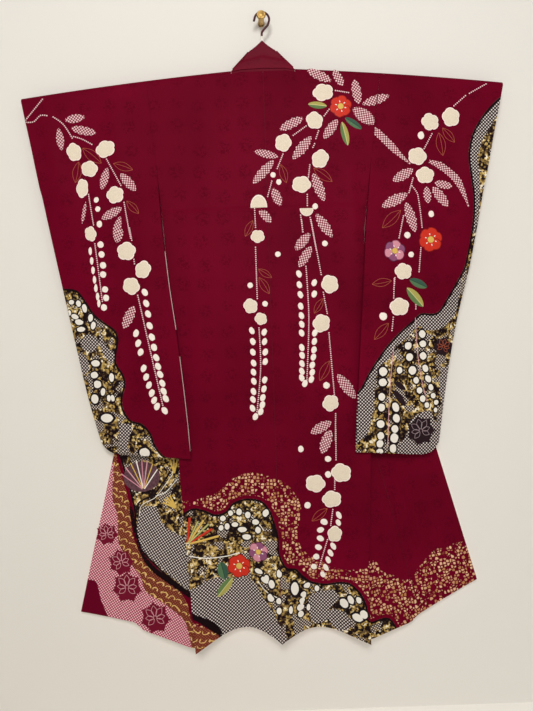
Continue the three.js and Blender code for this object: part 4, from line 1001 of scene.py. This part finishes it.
# cut off by the tuck: x, z of the middle, width, height, and the turn of the flat side
halfBlossoms = [(-24, -531, 46, 34, 0), (107, -540, 38, 20, 180)]
buds = {
    "back": """15,16,0 18,-444 33,-464 / 15,15,0 154,-636 / 16,16,0 131,-534 24,-662 -55,-745 -16,-797 154,-637 /
        19,19,0 145,-1027 / 15,21,20 -55,-870 -53,-900 -54,-929 -53,-959 -54,-984 -54,-1009 -56,-1037 -58,-1059
        -60,-1083 / 15,21,-20 -21,-875 -21,-901 -20,-930 -21,-956 -24,-1006 -27,-1031 -31,-1055 -33,-1075 -38,-1093
        -53,-1106 / 15,21,20 80,-718 80,-748 82,-775 82,-807 83,-833 83,-857 82,-881 81,-921 81,-942 80,-965 79,-986
        78,-1004 / 15,21,-20 121,-744 120,-775 118,-882 116,-905 114,-928 112,-948 108,-970 107,-990 104,-1009
        86,-1020 / 16,19,0 69,-1200 / 19,16,0 143,-1230 / 18,19,0 142,-1273 / 19,19,0 82,-1356 / 21,18,-20 127,-1405
        / 21,16,10 116,-1427 / 21,16,-30 115,-1451 / 21,16,-20 109,-1475 / 19,16,-30 102,-1501 / 19,15,-30 94,-1528
        / 14,22,25 168,-1386 / 14,19,25 166,-1407 / 14,22,30 150,-1473 142,-1492 / 14,21,20 135,-1512 / 14,22,30
        128,-1533 / 14,19,30 119,-1552""",
    "sleeve": """15,16,0 -469,-497 -465,-523 / 16,19,0 -461,-565 / 9.9,22,0 -490,-637 -487,-664 -484,-690 -481,-716
        -478,-739 -474,-762 -471,-781 / 18,19,35 -460,-621 -458,-648 -455,-678 -456,-703 -452,-744 -450,-767
        -457,-793 / 16,22,-25 -370,-867 -365,-894 -359,-919 -352,-963 -346,-987 -339,-1009 -332,-1031 -326,-1051
        -319,-1068 / 16,22,30 -341,-757 -338,-787 -334,-816 -331,-848 -326,-879 -321,-907 -316,-935 -312,-959
        -307,-981 -302,-1005 -299,-1027 -294,-1047 -298,-1080 / 19,22,0 428,-349 / 16,19,0 446,-568 / 18,18,0
        377,-625 / 16,16,0 386,-678 / 22,22,0 303,-844"""}
stems = {
    "back": """197,-218 233,-225 / 178,-269 164,-286 / 113,-313 77,-338 / 147,-327 139,-348 / 135,-362 130,-372 /
        47,-388 30,-427 / 120,-420 115,-453 / 14,-461 1,-503 / 110,-501 109,-537 / -36,-534 -35,-586 / 90,-557
        95,-603 / 116,-564 130,-654 / -37,-641 -37,-782 / -35,-863 -34,-971 -48,-1093 / 92,-570 94,-603 / 118,-571
        141,-722 / 100,-698 103,-841 92,-1010 / 145,-771 154,-829 / 157,-883 166,-1052 / 168,-1106 165,-1178 /
        167,-1150 165,-1233 / 160,-1286 159,-1315 / 152,-1371 145,-1415 / 135,-1455 110,-1529""",
    "sleeve": """-590,-194 -657,-270 / -656,-276 -635,-275 -616,-259 -598,-260 / -581,-264 -554,-285 -532,-322 /
        -528,-318 -505,-326 -478,-342 / -438,-385 -400,-460 / -491,-480 -478,-566 / -391,-509 -375,-608 / -476,-618
        -461,-776 / -377,-581 -372,-614 / -368,-666 -367,-678 / -361,-764 -303,-1065 / 642,-198 565,-238 / 554,-244
        522,-270 / 459,-345 436,-385 / 401,-467 387,-508 / 397,-490 411,-514 419,-604 / 368,-573 354,-632 / 414,-660
        407,-725 / 339,-740 335,-771 / 337,-743 334,-795 / 396,-804 395,-826 / 331,-847 326,-883"""}
leaves = {
    "back": """121,-158,187,-192,24 194,-161,218,-206,22 250,-189,260,-258,24 270,-258,345,-237,24
        244,-268,303,-313,34 106,-290,40,-321,24 200,-298,161,-348,24 126,-342,74,-403,26 -31,-377,33,-395,20
        21,-404,-38,-466,24 16,-480,36,-530,24 -24,-534,9,-575,22 128,-444,156,-520,26 133,-555,175,-620,26
        114,-608,72,-649,24 113,-608,73,-652,24 116,-644,81,-699,24 177,-998,223,-1065,28 155,-1128,98,-1157,26
        154,-1152,130,-1193,24 152,-1150,126,-1216,28""",
    "sleeve": """-550,-274,-494,-266,22 -534,-295,-464,-312,22 -568,-295,-562,-355,20 -437,-409,-454,-468,22
        -400,-427,-360,-476,24 -398,-524,-454,-551,24 -402,-548,-420,-607,20 -499,-500,-510,-561,9
        -400,-580,-415,-618,22 -372,-792,-405,-853,26 251,-185,214,-254,24 270,-258,344,-237,24 243,-266,303,-311,34
        402,-442,346,-473,26 382,-511,311,-546,28 377,-536,399,-617,26 437,-492,439,-538,20 460,-481,510,-492,22
        454,-492,495,-548,26"""}
branches = {
    "sleeve": "286,-316 327,-356 364,-396 396,-428 / 449,-420 483,-435 524,-475 553,-550"}
outlineLeaves = {
    "back": """40,-416,54,-467 130,-429,180,-467 -42,-567,-64,-610 -31,-701,5,-726 -30,-724,-3,-770
        144,-788,118,-828 156,-960,127,-1014 137,-1368,93,-1401""",
    "sleeve": """-504,-351,-453,-395 -419,-398,-367,-417 -517,-388,-527,-446 -384,-505,-351,-542 489,-329,522,-369
        478,-342,488,-405 361,-557,309,-604 329,-748,276,-756 317,-863,277,-906"""}
ovals = {
    "back": """-153,-1386,16,16,0 -131,-1372,14,16,0 -107,-1369,16,19,0 -83,-1377,16,19,0 -35,-1372,14,19,0
        -62,-1396,19,16,0 -56,-1418,16,19,0 -120,-1404,19,14,0 -142,-1409,14,19,0 -159,-1412,14,16,0
        -100,-1418,25,16,0 -88,-1438,25,16,0 -58,-1531,22,14,-20 -42,-1554,22,16,-40 -23,-1565,16,22,0
        -2.2,-1537,14,19,0 -26,-1604,16,16,0 -5.7,-1610,14,16,0 -5.6,-1636,14,19,0 40,-1581,19,33,0 63,-1601,14,19,0
        74,-1578,16,14,0 101,-1590,14,16,0 57,-1620,11,16,0 50,-1634,14,19,0 -32,-1369,14,19,0 -3.4,-1535,11,22,0
        -37,-1549,14,19,0 -24,-1563,16,22,0 -29,-1601,14,22,0 -5.9,-1608,11,16,0 -6.8,-1635,11,16,0 26,-1636,11,22,0
        39,-1580,22,38,5 73,-1576,19,14,20 62,-1599,16,14,20 58,-1615,16,14,10 55,-1633,16,16,0 53,-1652,16,19,0
        101,-1588,11,16,30 75,-1638,11,19,0 174,-1629,22,28,25 192,-1617,16,25,20 213,-1616,14,19,20
        225,-1654,19,25,30 208,-1664,28,22,-20""",
    "sleeve": """-550,-774,16,14,0 -529,-779,14,19,10 -512,-793,14,25,10 -558,-803,11,16,0 -542,-814,22,14,-20
        -496,-820,14,22,-10 -530,-830,25,16,-10 -489,-841,14,22,-15 -525,-850,25,14,0 -487,-945,25,19,0
        -443,-985,14,25,0 -492,-977,22,19,0 -484,-1003,22,22,0 -469,-1024,14,22,-10 -453,-1042,11,19,0
        -442,-1042,11,19,10 -494,-1043,22,28,0 -461,-1097,36,25,0 -359,-1194,30,28,0 411,-895,19,22,10
        412,-922,19,19,0 370,-926,19,22,-20 412,-955,19,22,10 373,-957,19,22,-10 417,-989,16,22,20 380,-993,22,25,0
        344,-992,16,19,0 424,-1018,16,22,30 390,-1021,16,19,0 431,-1042,14,19,20 399,-1049,16,19,0
        437,-1065,14,16,20 407,-1072,16,19,0 445,-1084,14,14,0 418,-1090,14,16,0 443,-1105,11,14,0 298,-994,22,25,0
        296,-1023,22,22,0 292,-1062,19,22,0 291,-1091,19,22,0 330,-1092,19,28,25 331,-1122,19,25,15
        287,-1136,22,22,0 326,-1151,19,22,10 286,-1168,19,22,0 324,-1176,22,28,0 284,-1190,19,22,0 320,-1205,19,25,0
        283,-1211,19,16,0"""}
camellias = [
    ("back", 210, -262, 29, ("red",)), ("back", -112, -1520, 31, ("red",)),
    ("back", -57, -1478, 26, ("pinkFloss", "plum")), ("sleeve", 442, -638, 32, ("red",)),
    ("sleeve", 341, -667, 28, ("plum", "pinkFloss"))]
stitchedLeaves = [
    ("back", 121, -253, 172, -260, 16, "fresh"), ("back", 221, -293, 266, -326, 15, "green"),
    ("back", 212, -305, 226, -370, 17, "fresh"), ("back", -163, -1506, -152, -1556, 24, "green"),
    ("back", -132, -1553, -175, -1600, 22, "fresh"), ("sleeve", 380, -745, 428, -768, 19, "green"),
    ("sleeve", 372, -768, 416, -820, 22, "fresh"), ("sleeve", 238, -291, 268, -322, 15, "green"),
    ("sleeve", 327, -1022, 360, -1046, 12, "dusk"), ("sleeve", 326, -1046, 358, -1090, 14, "dusk")]
maples = [
    ("sleeve", 399, -1160, 38, 0.2, "dusk", "ash"), ("sleeve", 470, -932, 26, -0.3, "dusk", "rust"),
    ("front", -482, -1426, 29, 0.1, "maroon", "pale"), ("front", -444, -1506, 34, 0.3, "maroon", "pale"),
    ("front", -429, -1575, 40, 0.0, "maroon", "pale"), ("front", -350, -1658, 40, 0.15, "maroon", "pale")]
sprays = [
    ("back", -250, -1447, 7, ("red", "fresh", "gold"), """-242,-1376 -220,-1388 -205,-1386 -183,-1412 -192,-1398
        -166,-1434"""),
    ("front", -374, -1305, 4, ("pinkFloss", "pale", "gold", "white"), """-436,-1258 -424,-1240 -409,-1228 -393,-1221
        -377,-1218 -361,-1222 -346,-1232 -333,-1248"""),
    ("front", -282, -1357, 6, ("gold",), "-316,-1331 -309,-1325 -300,-1321 -320,-1340"),
    ("front", -286, -1262, 5, ("gold",), "-296,-1222 -286,-1215 -276,-1222")]
lines = [
    ("sleeve", 2.2, "pale", "393,-850 396,-938 407,-1027 425,-1100"),
    ("sleeve", 2.2, "pale", "330,-925 315,-1046 305,-1200"),
    # a darker crimson strip down the centre seam: painted shade in its groove
    ("back", 1.5, "seam", "-0.1,-162 -0.1,-900 -0.1,-1700"),
    ("back", 3.2, "white", "-245,-1480 -196,-1491 -147,-1492 -113,-1484"),
    ("back", 2.4, "white", "-160,-1400 -130,-1372 -95,-1372 -60,-1392 -40,-1420"),
    ("back", 2.4, "white", "-60,-1560 -40,-1585 -10,-1600"),
    ("front", 6.5, "black", "-398,-1372 -392,-1345 -372,-1330 -345,-1318 -318,-1285 -296,-1255"),
    ("front", 2.6, "white", "-340,-1322 -312,-1312 -290,-1290 -278,-1276"),
    ("front", 2.2, "white", "-388,-1376 -384,-1352 -368,-1339 -341,-1326 -312,-1291 -290,-1262"),
    ("front", 5.0, "black", "-310,-1290 -290,-1312 -272,-1330")]


# in mm: a motif's underside, the step that gives the cloth's slopes, and how near a motif may come to the edges;
# and the rounds that find a place on the sleeve
laying = {"sunk": -0.5, "step": 0.5, "fromSeam": 1.2, "fromCuff": 2, "rounds": 14}


def onCloth(region, side, x, z):
    # the middle of the cloth at the hung place (x, z), x measured outwards: the back by its depth, the turned
    # front by unfolding it, and the sleeve by finding the shares u and v that land there
    if region == "back":
        return stack(x, backDepth(side, x, z), z)
    if region == "front":
        p = unfold(side, pair(x, z))
        return placeFront(side, p[..., 0], p[..., 1])
    u, v = np.full(np.shape(x), 0.5), np.full(np.shape(x), 0.5)
    for _ in range(laying["rounds"]):
        low, high = placeSleeve(side, 1, 0 * u, v), placeSleeve(side, 1, 0 * u + 1, v)
        top, bottom = placeSleeve(side, 1, u, 0 * v)[..., 2], placeSleeve(side, 1, u, 0 * v + 1)[..., 2]
        u = np.clip((x - low[..., 0]) / (high[..., 0] - low[..., 0]), 0, 1)
        v = np.clip((z - top) / (bottom - top), 0, 1)
    return placeSleeve(side, 1, u, v)


def lay(region, side, x, z, rise):
    # points `rise` mm above the printed face: along the cloth's own normal, from its slopes either way
    step = laying["step"]
    x = x * side["sign"]
    if region == "back":
        x = np.minimum(x, seamX(side, z) - laying["fromSeam"])
    elif region == "sleeve":
        x = np.clip(x, furiX(side, z) + laying["fromSeam"], edgeAt(side["cuff"], z) - laying["fromCuff"])
    along = onCloth(region, side, x + step, z) - onCloth(region, side, x - step, z)
    up = onCloth(region, side, x, z + step) - onCloth(region, side, x, z - step)
    normal = np.cross(up, along)
    normal /= np.linalg.norm(normal, axis=-1, keepdims=True)
    p = onCloth(region, side, x, z) + normal * (cut["wall"] / 2 + rise)[..., None]
    return np.stack([p[..., 0] * side["sign"], -p[..., 1], p[..., 2]], axis=-1) * mm


bags = {}


def keep(region, side, points, faces, reach, flat, material):
    # one motif's mesh data, kept for the piece of its cloth
    bags.setdefault((region, side["name"]), []).append((points, faces, reach, flat, material))


def patches(region, centres, outlines, turns, material, low=0.25, high=0.8, shares=(0.5, 0.85, 1.0)):
    # Low domes: each outline shrunk to its centre in rings, with a skirt down into the cloth and a closed base.
    # A ring's height falls from high to low by the fourth power of its share. flat is each point on the motif
    # itself, along its own length and across.
    centres, turns = np.asarray(centres, float), np.asarray(turns, float)
    for side in (left, right):
        mine = centres[:, 0] * side["sign"] > 0
        if not mine.any():
            continue
        c, o, t = centres[mine], outlines[mine], turns[mine][:, None]
        count, n = o.shape[:2]
        s = np.concatenate([[0.0], np.repeat(shares, n), [1.0] * n, [0.0]])
        ring = np.concatenate([o[:, :1], np.tile(o, (1, len(shares) + 1, 1)), o[:, :1]], axis=1) * s[None, :, None]
        rise = low + (high - low) * (1 - s ** 4)
        rise[-n - 1:] = laying["sunk"]
        hung = c[:, None] + np.stack([ring[..., 0] * np.cos(t) - ring[..., 1] * np.sin(t),
                                      ring[..., 0] * np.sin(t) + ring[..., 1] * np.cos(t)], axis=-1)
        points = lay(region, side, hung[..., 0], hung[..., 1], np.broadcast_to(rise, hung.shape[:2]))
        j, after = np.arange(n), (np.arange(n) + 1) % n
        start, base = 1, 1 + n * (len(shares) + 1)
        tops = np.stack([0 * j, start + j, start + after], axis=1)
        unders = np.stack([0 * j + base, base - n + after, base - n + j], axis=1)
        walls = [np.stack([start + k * n + j, start + (k + 1) * n + j, start + (k + 1) * n + after,
                           start + k * n + after], axis=1) for k in range(len(shares))]
        offsets = (np.arange(count) * (base + 1))[:, None, None]
        faces = [(block[None] + offsets).reshape(-1, block.shape[1]) for block in (tops, unders, *walls)]
        keep(region, side, points.reshape(-1, 3), faces, np.tile(s, count), ring.reshape(-1, 2), material)


def ribbon(region, path, width, material, rise=0.45, shape=1.0):
    # a low four-sided band along a path of points, with closed ends; shape is its width's share at each point
    path = np.asarray(path, float)
    side = left if path[:, 0].mean() < 0 else right
    along = np.gradient(path, axis=0)
    along /= np.maximum(np.hypot(*along.T), 1e-9)[:, None]
    across = pair(-along[:, 1], along[:, 0])
    wide = np.array([1.0, 0.6, -0.6, -1.0]) * width / 2
    wide = wide[None, :] * np.broadcast_to(shape, len(path))[:, None]
    hung = path[:, None] + across[:, None] * wide[..., None]
    rises = np.broadcast_to([laying["sunk"], rise, rise, laying["sunk"]], hung.shape[:2])
    points = lay(region, side, hung[..., 0], hung[..., 1], rises)
    count = len(path)
    i, j = np.meshgrid(np.arange(count - 1), np.arange(4), indexing="ij")
    k = (j + 1) % 4
    bands = np.stack([i * 4 + k, i * 4 + j, i * 4 + 4 + j, i * 4 + 4 + k], axis=-1).reshape(-1, 4)
    last = (count - 1) * 4
    ends = np.array([[0, 1, 2, 3], [last + 3, last + 2, last + 1, last]])
    length = np.concatenate([[0], np.cumsum(np.hypot(*np.diff(path, axis=0).T))])
    flat = pair(np.repeat(length, 4), wide.ravel())
    keep(region, side, points.reshape(-1, 3), [bands[:, ::-1], ends[:, ::-1]], np.zeros(count * 4), flat, material)


def curveThrough(points, spacing):
    # an open smooth curve through the points, at even steps of about `spacing` mm
    p = np.array(points, float)
    if len(p) > 2:
        loop = smoothLoop(np.concatenate([p, p[-2:0:-1]]), 8)
        p = loop[:(len(points) - 1) * 8 + 1]
    length = np.concatenate([[0], np.cumsum(np.hypot(*np.diff(p, axis=0).T))])
    at = np.linspace(0, length[-1], max(2, int(round(length[-1] / spacing)) + 1))
    return pair(np.interp(at, length, p[:, 0]), np.interp(at, length, p[:, 1]))


def around(points):
    # angles evenly round a full turn
    return np.arange(points) * 2 * math.pi / points


def roundOutline(widths, heights, points):
    # an ellipse for each width and height
    angle = around(points)
    return pair(np.outer(widths, np.cos(angle)), np.outer(heights, np.sin(angle))) / 2


chance = np.random.default_rng(17)


def blossomOutline(widths, heights, points=40):
    # five rounded petals with a notch between each, and a slow unevenness that differs from one to the next
    angle = around(points)
    phase, lean = chance.uniform(0, 6, (2, len(widths), 1))
    radius = 0.84 + 0.18 * np.abs(np.cos(2.5 * angle + phase)) ** 0.55 + 0.04 * np.cos(2 * angle + lean)
    return roundOutline(widths, heights, points) * radius[..., None]


def uneven(outlines):
    # each point of each outline drawn in or out by a few hundredths
    return outlines * (1 + chance.normal(0, 0.035, outlines.shape[:2] + (1,)))


def leafOutline(lengths, widths, points=22, notch=0.0):
    # a lens with two points, each place round its edge in or out of the last by a tenth where `notch` is 0.1
    angle = around(points)
    across = np.sin(angle) * np.abs(np.sin(angle)) ** 0.35 * (1 + notch * np.cos(points / 2 * angle))
    return pair(np.outer(lengths, np.cos(angle)), np.outer(widths, across)) / 2


def rows(table):
    # the middles, widths, heights and turns in radians of a table's rows
    table = np.array(table)
    return table[:, :2], table[:, 2], table[:, 3], np.radians(table[:, 4])


def runRows(text):
    # a row for each place of a run, with the width, height and turn that the run starts with
    return [place + size for size, *places in map(numbers, text.split("/")) for place in places]


def leafRows(table):
    # each leaf's centre, length and turn from its two ends
    table = np.array(table, float)
    ends = table[:, 2:4] - table[:, :2]
    return table[:, :2] + ends / 2, np.hypot(*ends.T), np.arctan2(ends[:, 1], ends[:, 0]), table[:, 4:]


def outlinedLeaf(region, x0, z0, x1, z1):
    # an open leaf drawn in thread, with its midrib
    a, along = np.array([x0, z0]), np.array([x1 - x0, z1 - z0])
    across = np.array([-along[1], along[0]])
    t = np.linspace(0, 1, 13)[:, None]
    for bend in (0.2, -0.2, 0.03):
        ribbon(region, a + along * t + across * bend * np.sin(math.pi * t) ** 0.9, 1.5, threads["rust"])


# shares of its radius, but for the stamens' size in mm
flower = {"petals": 6, "petalAt": 0.58, "petalWide": 0.98, "petalLong": 1.06, "heart": 0.6, "stamenAt": 0.46,
          "stamen": (5.6, 2.8), "turn": 0.3, "stamenTurn": 0.4}


def camellia(region, x, z, radius, tones):
    # overlapping petals, each a little higher than the last, round a gold heart with a ring of pale stamens
    count, angle = flower["petals"], around(flower["petals"]) + flower["turn"]
    out = flower["petalAt"] * radius
    for k, a in enumerate(angle):
        petal = uneven(roundOutline([flower["petalWide"] * radius], [flower["petalLong"] * radius], 20))
        patches(region, [(x + out * math.cos(a), z + out * math.sin(a))], petal, [a],
                threads[tones[k % len(tones)]], 0.3 + 0.1 * k, 0.9 + 0.12 * k)
    heart = flower["heart"] * radius
    patches(region, [(x, z)], roundOutline([heart], [heart], 16), [0], threads["gold"], 1.3, 1.8)
    out, angle = flower["stamenAt"] * radius, angle + flower["stamenTurn"]
    stamens = roundOutline(*([size] * count for size in flower["stamen"]), 8)
    patches(region, [(x + out * math.cos(a), z + out * math.sin(a)) for a in angle], stamens, angle,
            threads["white"], 1.6, 2.0, (1.0,))


def stitchedLeaf(region, x0, z0, x1, z1, width, tone):
    # a full leaf between two places
    centre, length, turn, _ = leafRows([(x0, z0, x1, z1)])
    patches(region, centre, leafOutline(length, [width * 1.2]), turn, threads[tone], 0.3, 0.9)


def maple(region, x, z, radius, turn, ground, vein):
    # a seven-pointed ground, with the leaf's lobes outlined in thread
    angle = around(56)
    star = radius * (1.1 - 0.24 * np.abs(np.sin(3.5 * (angle - math.pi / 2))) ** 0.75)
    star *= 1 + 0.035 * np.cos(28 * angle)
    patches(region, [(x, z)], (pair(np.cos(angle), np.sin(angle)) * star[:, None])[None], [turn],
            threads[ground], 0.25, 0.5)
    for k in range(7):
        a = turn + math.radians(90 + (k - 3) * 42)
        tip = np.array([math.cos(a), math.sin(a)]) * radius * (0.86 if k in (2, 3, 4) else 0.7)
        t, side = np.linspace(0, 1, 7)[:, None], np.array([-tip[1], tip[0]])
        for bend in (0.23, -0.23):
            path = np.array([x, z]) + tip * (0.14 + 0.86 * t) + side * bend * np.sin(math.pi * t)
            ribbon(region, path, 1.5, threads[vein], 0.9)


def spray(region, x, z, width, tones, rays):
    # straight needles from one point to the end of each ray, each with its own tone
    for k, (toX, toZ) in enumerate(numbers(rays)):
        ribbon(region, [(x + (toX - x) * t, z + (toZ - z) * t) for t in (0.06, 0.35, 0.7, 1.0)], width,
               threads[tones[k % len(tones)]], 0.6 + 0.05 * k)


for region, text in blossoms.items():
    centres, widths, heights, turns = rows(numbers(text))
    patches(region, centres, blossomOutline(widths, heights), turns, threads["blossom"], 0.3, 1.5,
            (0.3, 0.6, 0.86, 0.955, 1.0))
for region, text in buds.items():
    centres, widths, heights, turns = rows(runRows(text))
    patches(region, centres, uneven(roundOutline(widths, heights, 12)), turns, threads["bud"], 0.3, 1.1,
            (0.6, 0.92, 1.0))
for region, text in ovals.items():
    # widened for the dark ring at their rim
    centres, widths, heights, turns = rows(numbers(text))
    patches(region, centres, uneven(roundOutline(widths * 1.42, heights * 1.36, 14)), turns, threads["oval"],
            0.3, 1.1, (0.5, 0.68, 0.72, 1.0))
for region, text in stems.items():
    dots = np.concatenate([curveThrough(path, 5.6) for path in paths(text)])
    patches(region, dots, roundOutline([4.0] * len(dots), [4.0] * len(dots), 6), [0] * len(dots), threads["dot"],
            0.35, 0.7, (1.0,))
for x, z, width, height, turn in halfBlossoms:
    # a round outline with the half below its middle laid flat on the tuck
    whole = roundOutline([width], [2 * height], 24)
    patches("back", [(x, z)], pair(whole[..., 0], np.maximum(whole[..., 1], -1.5)),
            [math.radians(turn)], threads["blossom"], 0.3, 1.2, (0.4, 0.8, 1.0))
for region, text in leaves.items():
    centres, lengths, turns, widths = leafRows(numbers(text))
    patches(region, centres, leafOutline(lengths, widths[:, 0] * 1.05, 28, 0.1), turns, threads["leaf"], 0.25, 0.7)
for region, text in branches.items():
    # dotted bands with notched edges, narrow at the start and tapered to the end
    for path in paths(text):
        curve = curveThrough(path, 7)
        t = np.linspace(0, 1, len(curve))
        notched = 1 + 0.08 * np.cos(math.pi * np.arange(len(curve)))
        ribbon(region, curve, 25, threads["leaf"],
               shape=notched * np.minimum(1, 0.4 + 3.5 * t) * np.minimum(1, 0.16 + 1.9 * (1 - t)))
for region, text in outlineLeaves.items():
    for leaf in numbers(text):
        outlinedLeaf(region, *leaf)
for draw, table in ((camellia, camellias), (stitchedLeaf, stitchedLeaves), (maple, maples)):
    for row in table:
        draw(*row)
patches("front", [(-378, -1268)], roundOutline([104], [84], 28), [0.1], threads["plumWash"], 0.2, 0.4)
for needles in sprays:
    spray(*needles)
for region, width, tone, path in lines:
    ribbon(region, curveThrough(numbers(path), 6), width, threads[tone])
# the sewn line between the right front and its half-width panel, a darker crimson strip: painted shade in the seam's
# groove
ends = outline(right)
sewn = unfold(right, blend(ends["point"], ends["overlapHem"], np.linspace(0.55, 0.99, 60)[:, None]))
ribbon("front", sewn, 1.6, threads["seam"])


def motifPiece(key):
    # one mesh of every motif on a cloth, its materials in the order they come
    parts = bags[key]
    used = list(dict.fromkeys(part[4] for part in parts))
    offset, points, faces, slots = 0, [], [], []
    for place, blocks, _, _, material in parts:
        for block in blocks:
            faces += (block + offset).tolist()
            slots += [used.index(material)] * len(block)
        points.append(place)
        offset += len(place)
    mesh = bpy.data.meshes.new("motifs_" + "_".join(key))
    mesh.from_pydata(np.concatenate(points).tolist(), [], faces)
    for material in used:
        mesh.materials.append(material)
    mesh.polygons.foreach_set("material_index", slots)
    mesh.polygons.foreach_set("use_smooth", [True] * len(faces))
    corners = np.zeros(len(mesh.loops), int)
    mesh.loops.foreach_get("vertex_index", corners)
    flat = np.concatenate([part[3] for part in parts])[corners] * mm
    mesh.uv_layers.new(name="flat").data.foreach_set("uv", flat.astype(np.float32).ravel())
    reach = np.concatenate([part[2] for part in parts])
    mesh.attributes.new("reach", "FLOAT", "POINT").data.foreach_set("value", reach.astype(np.float32))
    mesh.set_sharp_from_angle(angle=math.radians(60))
    return placed(mesh.name, mesh)


motifs = {key: motifPiece(key) for key in bags}
print("motifs", {piece.name: len(piece.data.polygons) for piece in motifs.values()})


# ---- stage ----

def flatPiece(name, corners, material):
    # one face of the room
    mesh = bpy.data.meshes.new(name)
    mesh.from_pydata([[v * mm for v in corner] for corner in corners], [], [(0, 1, 2, 3)])
    mesh.materials.append(material)
    piece = placed(name, mesh)
    return piece


# cut of each cloth in metres, and its area in square metres: a body half is one length over the shoulder
sheets = {"body": (0.38, 3.2, 0.9), "overlap": (0.16, 1.3, 0.18), "sleeve": (0.38, 2.1, 0.7),
          "collar": (0.06, 1.7, 0.088), "collar_cover": (0.055, 0.9, 0.038)}
hosts = {"back": "body_cloth_", "front": "overlap_cloth_", "sleeve": "sleeve_cloth_"}
onSheet = {}
for (region, name), piece in motifs.items():
    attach(piece, "root")
    onSheet.setdefault(hosts[region] + name, []).append(piece)
for name, piece in cloths.items():
    piece.data.materials.append(plainSilk if "collar" in name else printed)
    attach(piece, "root")
    "collar_silk" if "collar" in name else "silk"
    area = sum(polygon.area for polygon in piece.data.polygons) / 2
    print(name, "area", round(area, 4))
    width, length, flatArea = sheets[name.split("_cloth")[0]]
    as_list(onSheet.get(name, []))

# moulded or dip-coated plastic: an even skin with faint grime and a soft gloss
moulded = {"scale": 60.0, "detail": 3.0, "from": 0.6, "soft": 0.15, "rougher": 0.15, "metallic": 0.0}
# brass turned on a lathe and polished by hand: a duller bloom
turned = {"scale": 90.0, "detail": 4.0, "from": 0.55, "soft": 0.12, "rougher": 0.2, "metallic": 1.0}
hardware = {
    "hanger_bar": hard("plastic_hanger_bar", "#d9d4cb", "#c9c2b6", 0.45, moulded),
    "hanger_ferrule": hard("white_plastic_ferrule", "#ece8e0", "#d8d1c4", 0.35, moulded),
    "hanger_hook": hard("maroon_vinyl_coated_wire", "#4a1420", "#35101a", 0.3, moulded),
    "peg_base": hard("turned_brass", "#b08f55", "#866a3c", 0.34, turned),
    "peg_stem": hard("turned_brass_stem", "#b08f55", "#866a3c", 0.34, turned),
    "peg_head": hard("turned_brass_head", "#b8975a", "#8c6f3e", 0.36, turned)}
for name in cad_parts:
    if name in hardware:
        bpy.data.objects[name].material_slots[0].material = hardware[name]
print("nodes", sorted(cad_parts))

stage = {"wallAt": 0.5, "floorAt": -1947.0, "reach": 6000.0, "wallTop": 3500.0, "aim": (0, 0, -900)}


def wallPaint(tree):
    # matt emulsion on plaster: warm off-white with a faint roller texture
    place = add(tree, "TexCoord", output="Object")
    slow = noise(tree, place, 0.8, Detail=1.0)
    colour = paint(tree, linear("#e2dfd9"), [(edge(tree, slow, 0.5, 0.3), linear("#dfdbd2"))])
    roller = noise(tree, place, 260.0, Detail=3.0)
    return {"Base Color": colour, "Roughness": 0.9, "Specular IOR Level": 0.2,
            "Normal": bump(tree, roller, 0.15, 0.0005)}


def oneSided(material):
    # clear from behind, so that the garment's wall side can be seen
    tree = material.node_tree
    output = next(node for node in tree.nodes if node.type == "OUTPUT_MATERIAL")
    shader = output.inputs["Surface"].links[0].from_socket
    clear = add(tree, "BsdfTransparent")
    back = add(tree, "NewGeometry", output="Backfacing")
    tree.links.new(add(tree, "MixShader", {0: back, 1: shader, 2: clear}), output.inputs["Surface"])
    return material


far, low, wallAt = stage["reach"], stage["floorAt"], stage["wallAt"]
wall = flatPiece("wall", [(-far, wallAt, low), (far, wallAt, low), (far, wallAt, stage["wallTop"]),
                          (-far, wallAt, stage["wallTop"])], oneSided(finish("wall_emulsion", wallPaint)))
wall.visible_shadow = False
flatPiece("floor", [(-far, -far, low), (far, -far, low), (far, far, low), (-far, far, low)],
          finish("floor_matt", wallPaint))


def areaLight(name, place, size, power, colour):
    # a square soft light at `place` turned to face the garment's middle, both in mm
    data = bpy.data.lights.new(name, "AREA")
    data.size, data.energy, data.color = size * mm, power, linear(colour)[:3]
    away = Vector(place) - Vector(stage["aim"])
    turn = away.to_track_quat("Z", "Y").to_matrix().to_4x4()
    placed(name, data).matrix_world = Matrix.Translation([v * mm for v in place]) @ turn


areaLight("ceiling_light", (-150, -2900, 600), 1000, 66, "#faf7f4")
areaLight("rear_light", (300, 2600, -200), 1800, 60, "#f6f4f0")
areaLight("room_fill", (900, -2800, -700), 2400, 12, "#f4f2f2")
bpy.context.scene.view_settings.view_transform = "Standard"

world = bpy.data.worlds.new("room")
bpy.context.scene.world = world
world.use_nodes = True
background = world.node_tree.nodes["Background"].inputs
background["Color"].default_value, background["Strength"].default_value = linear("#f1f1f0"), 0.4
print("stage and lights placed")
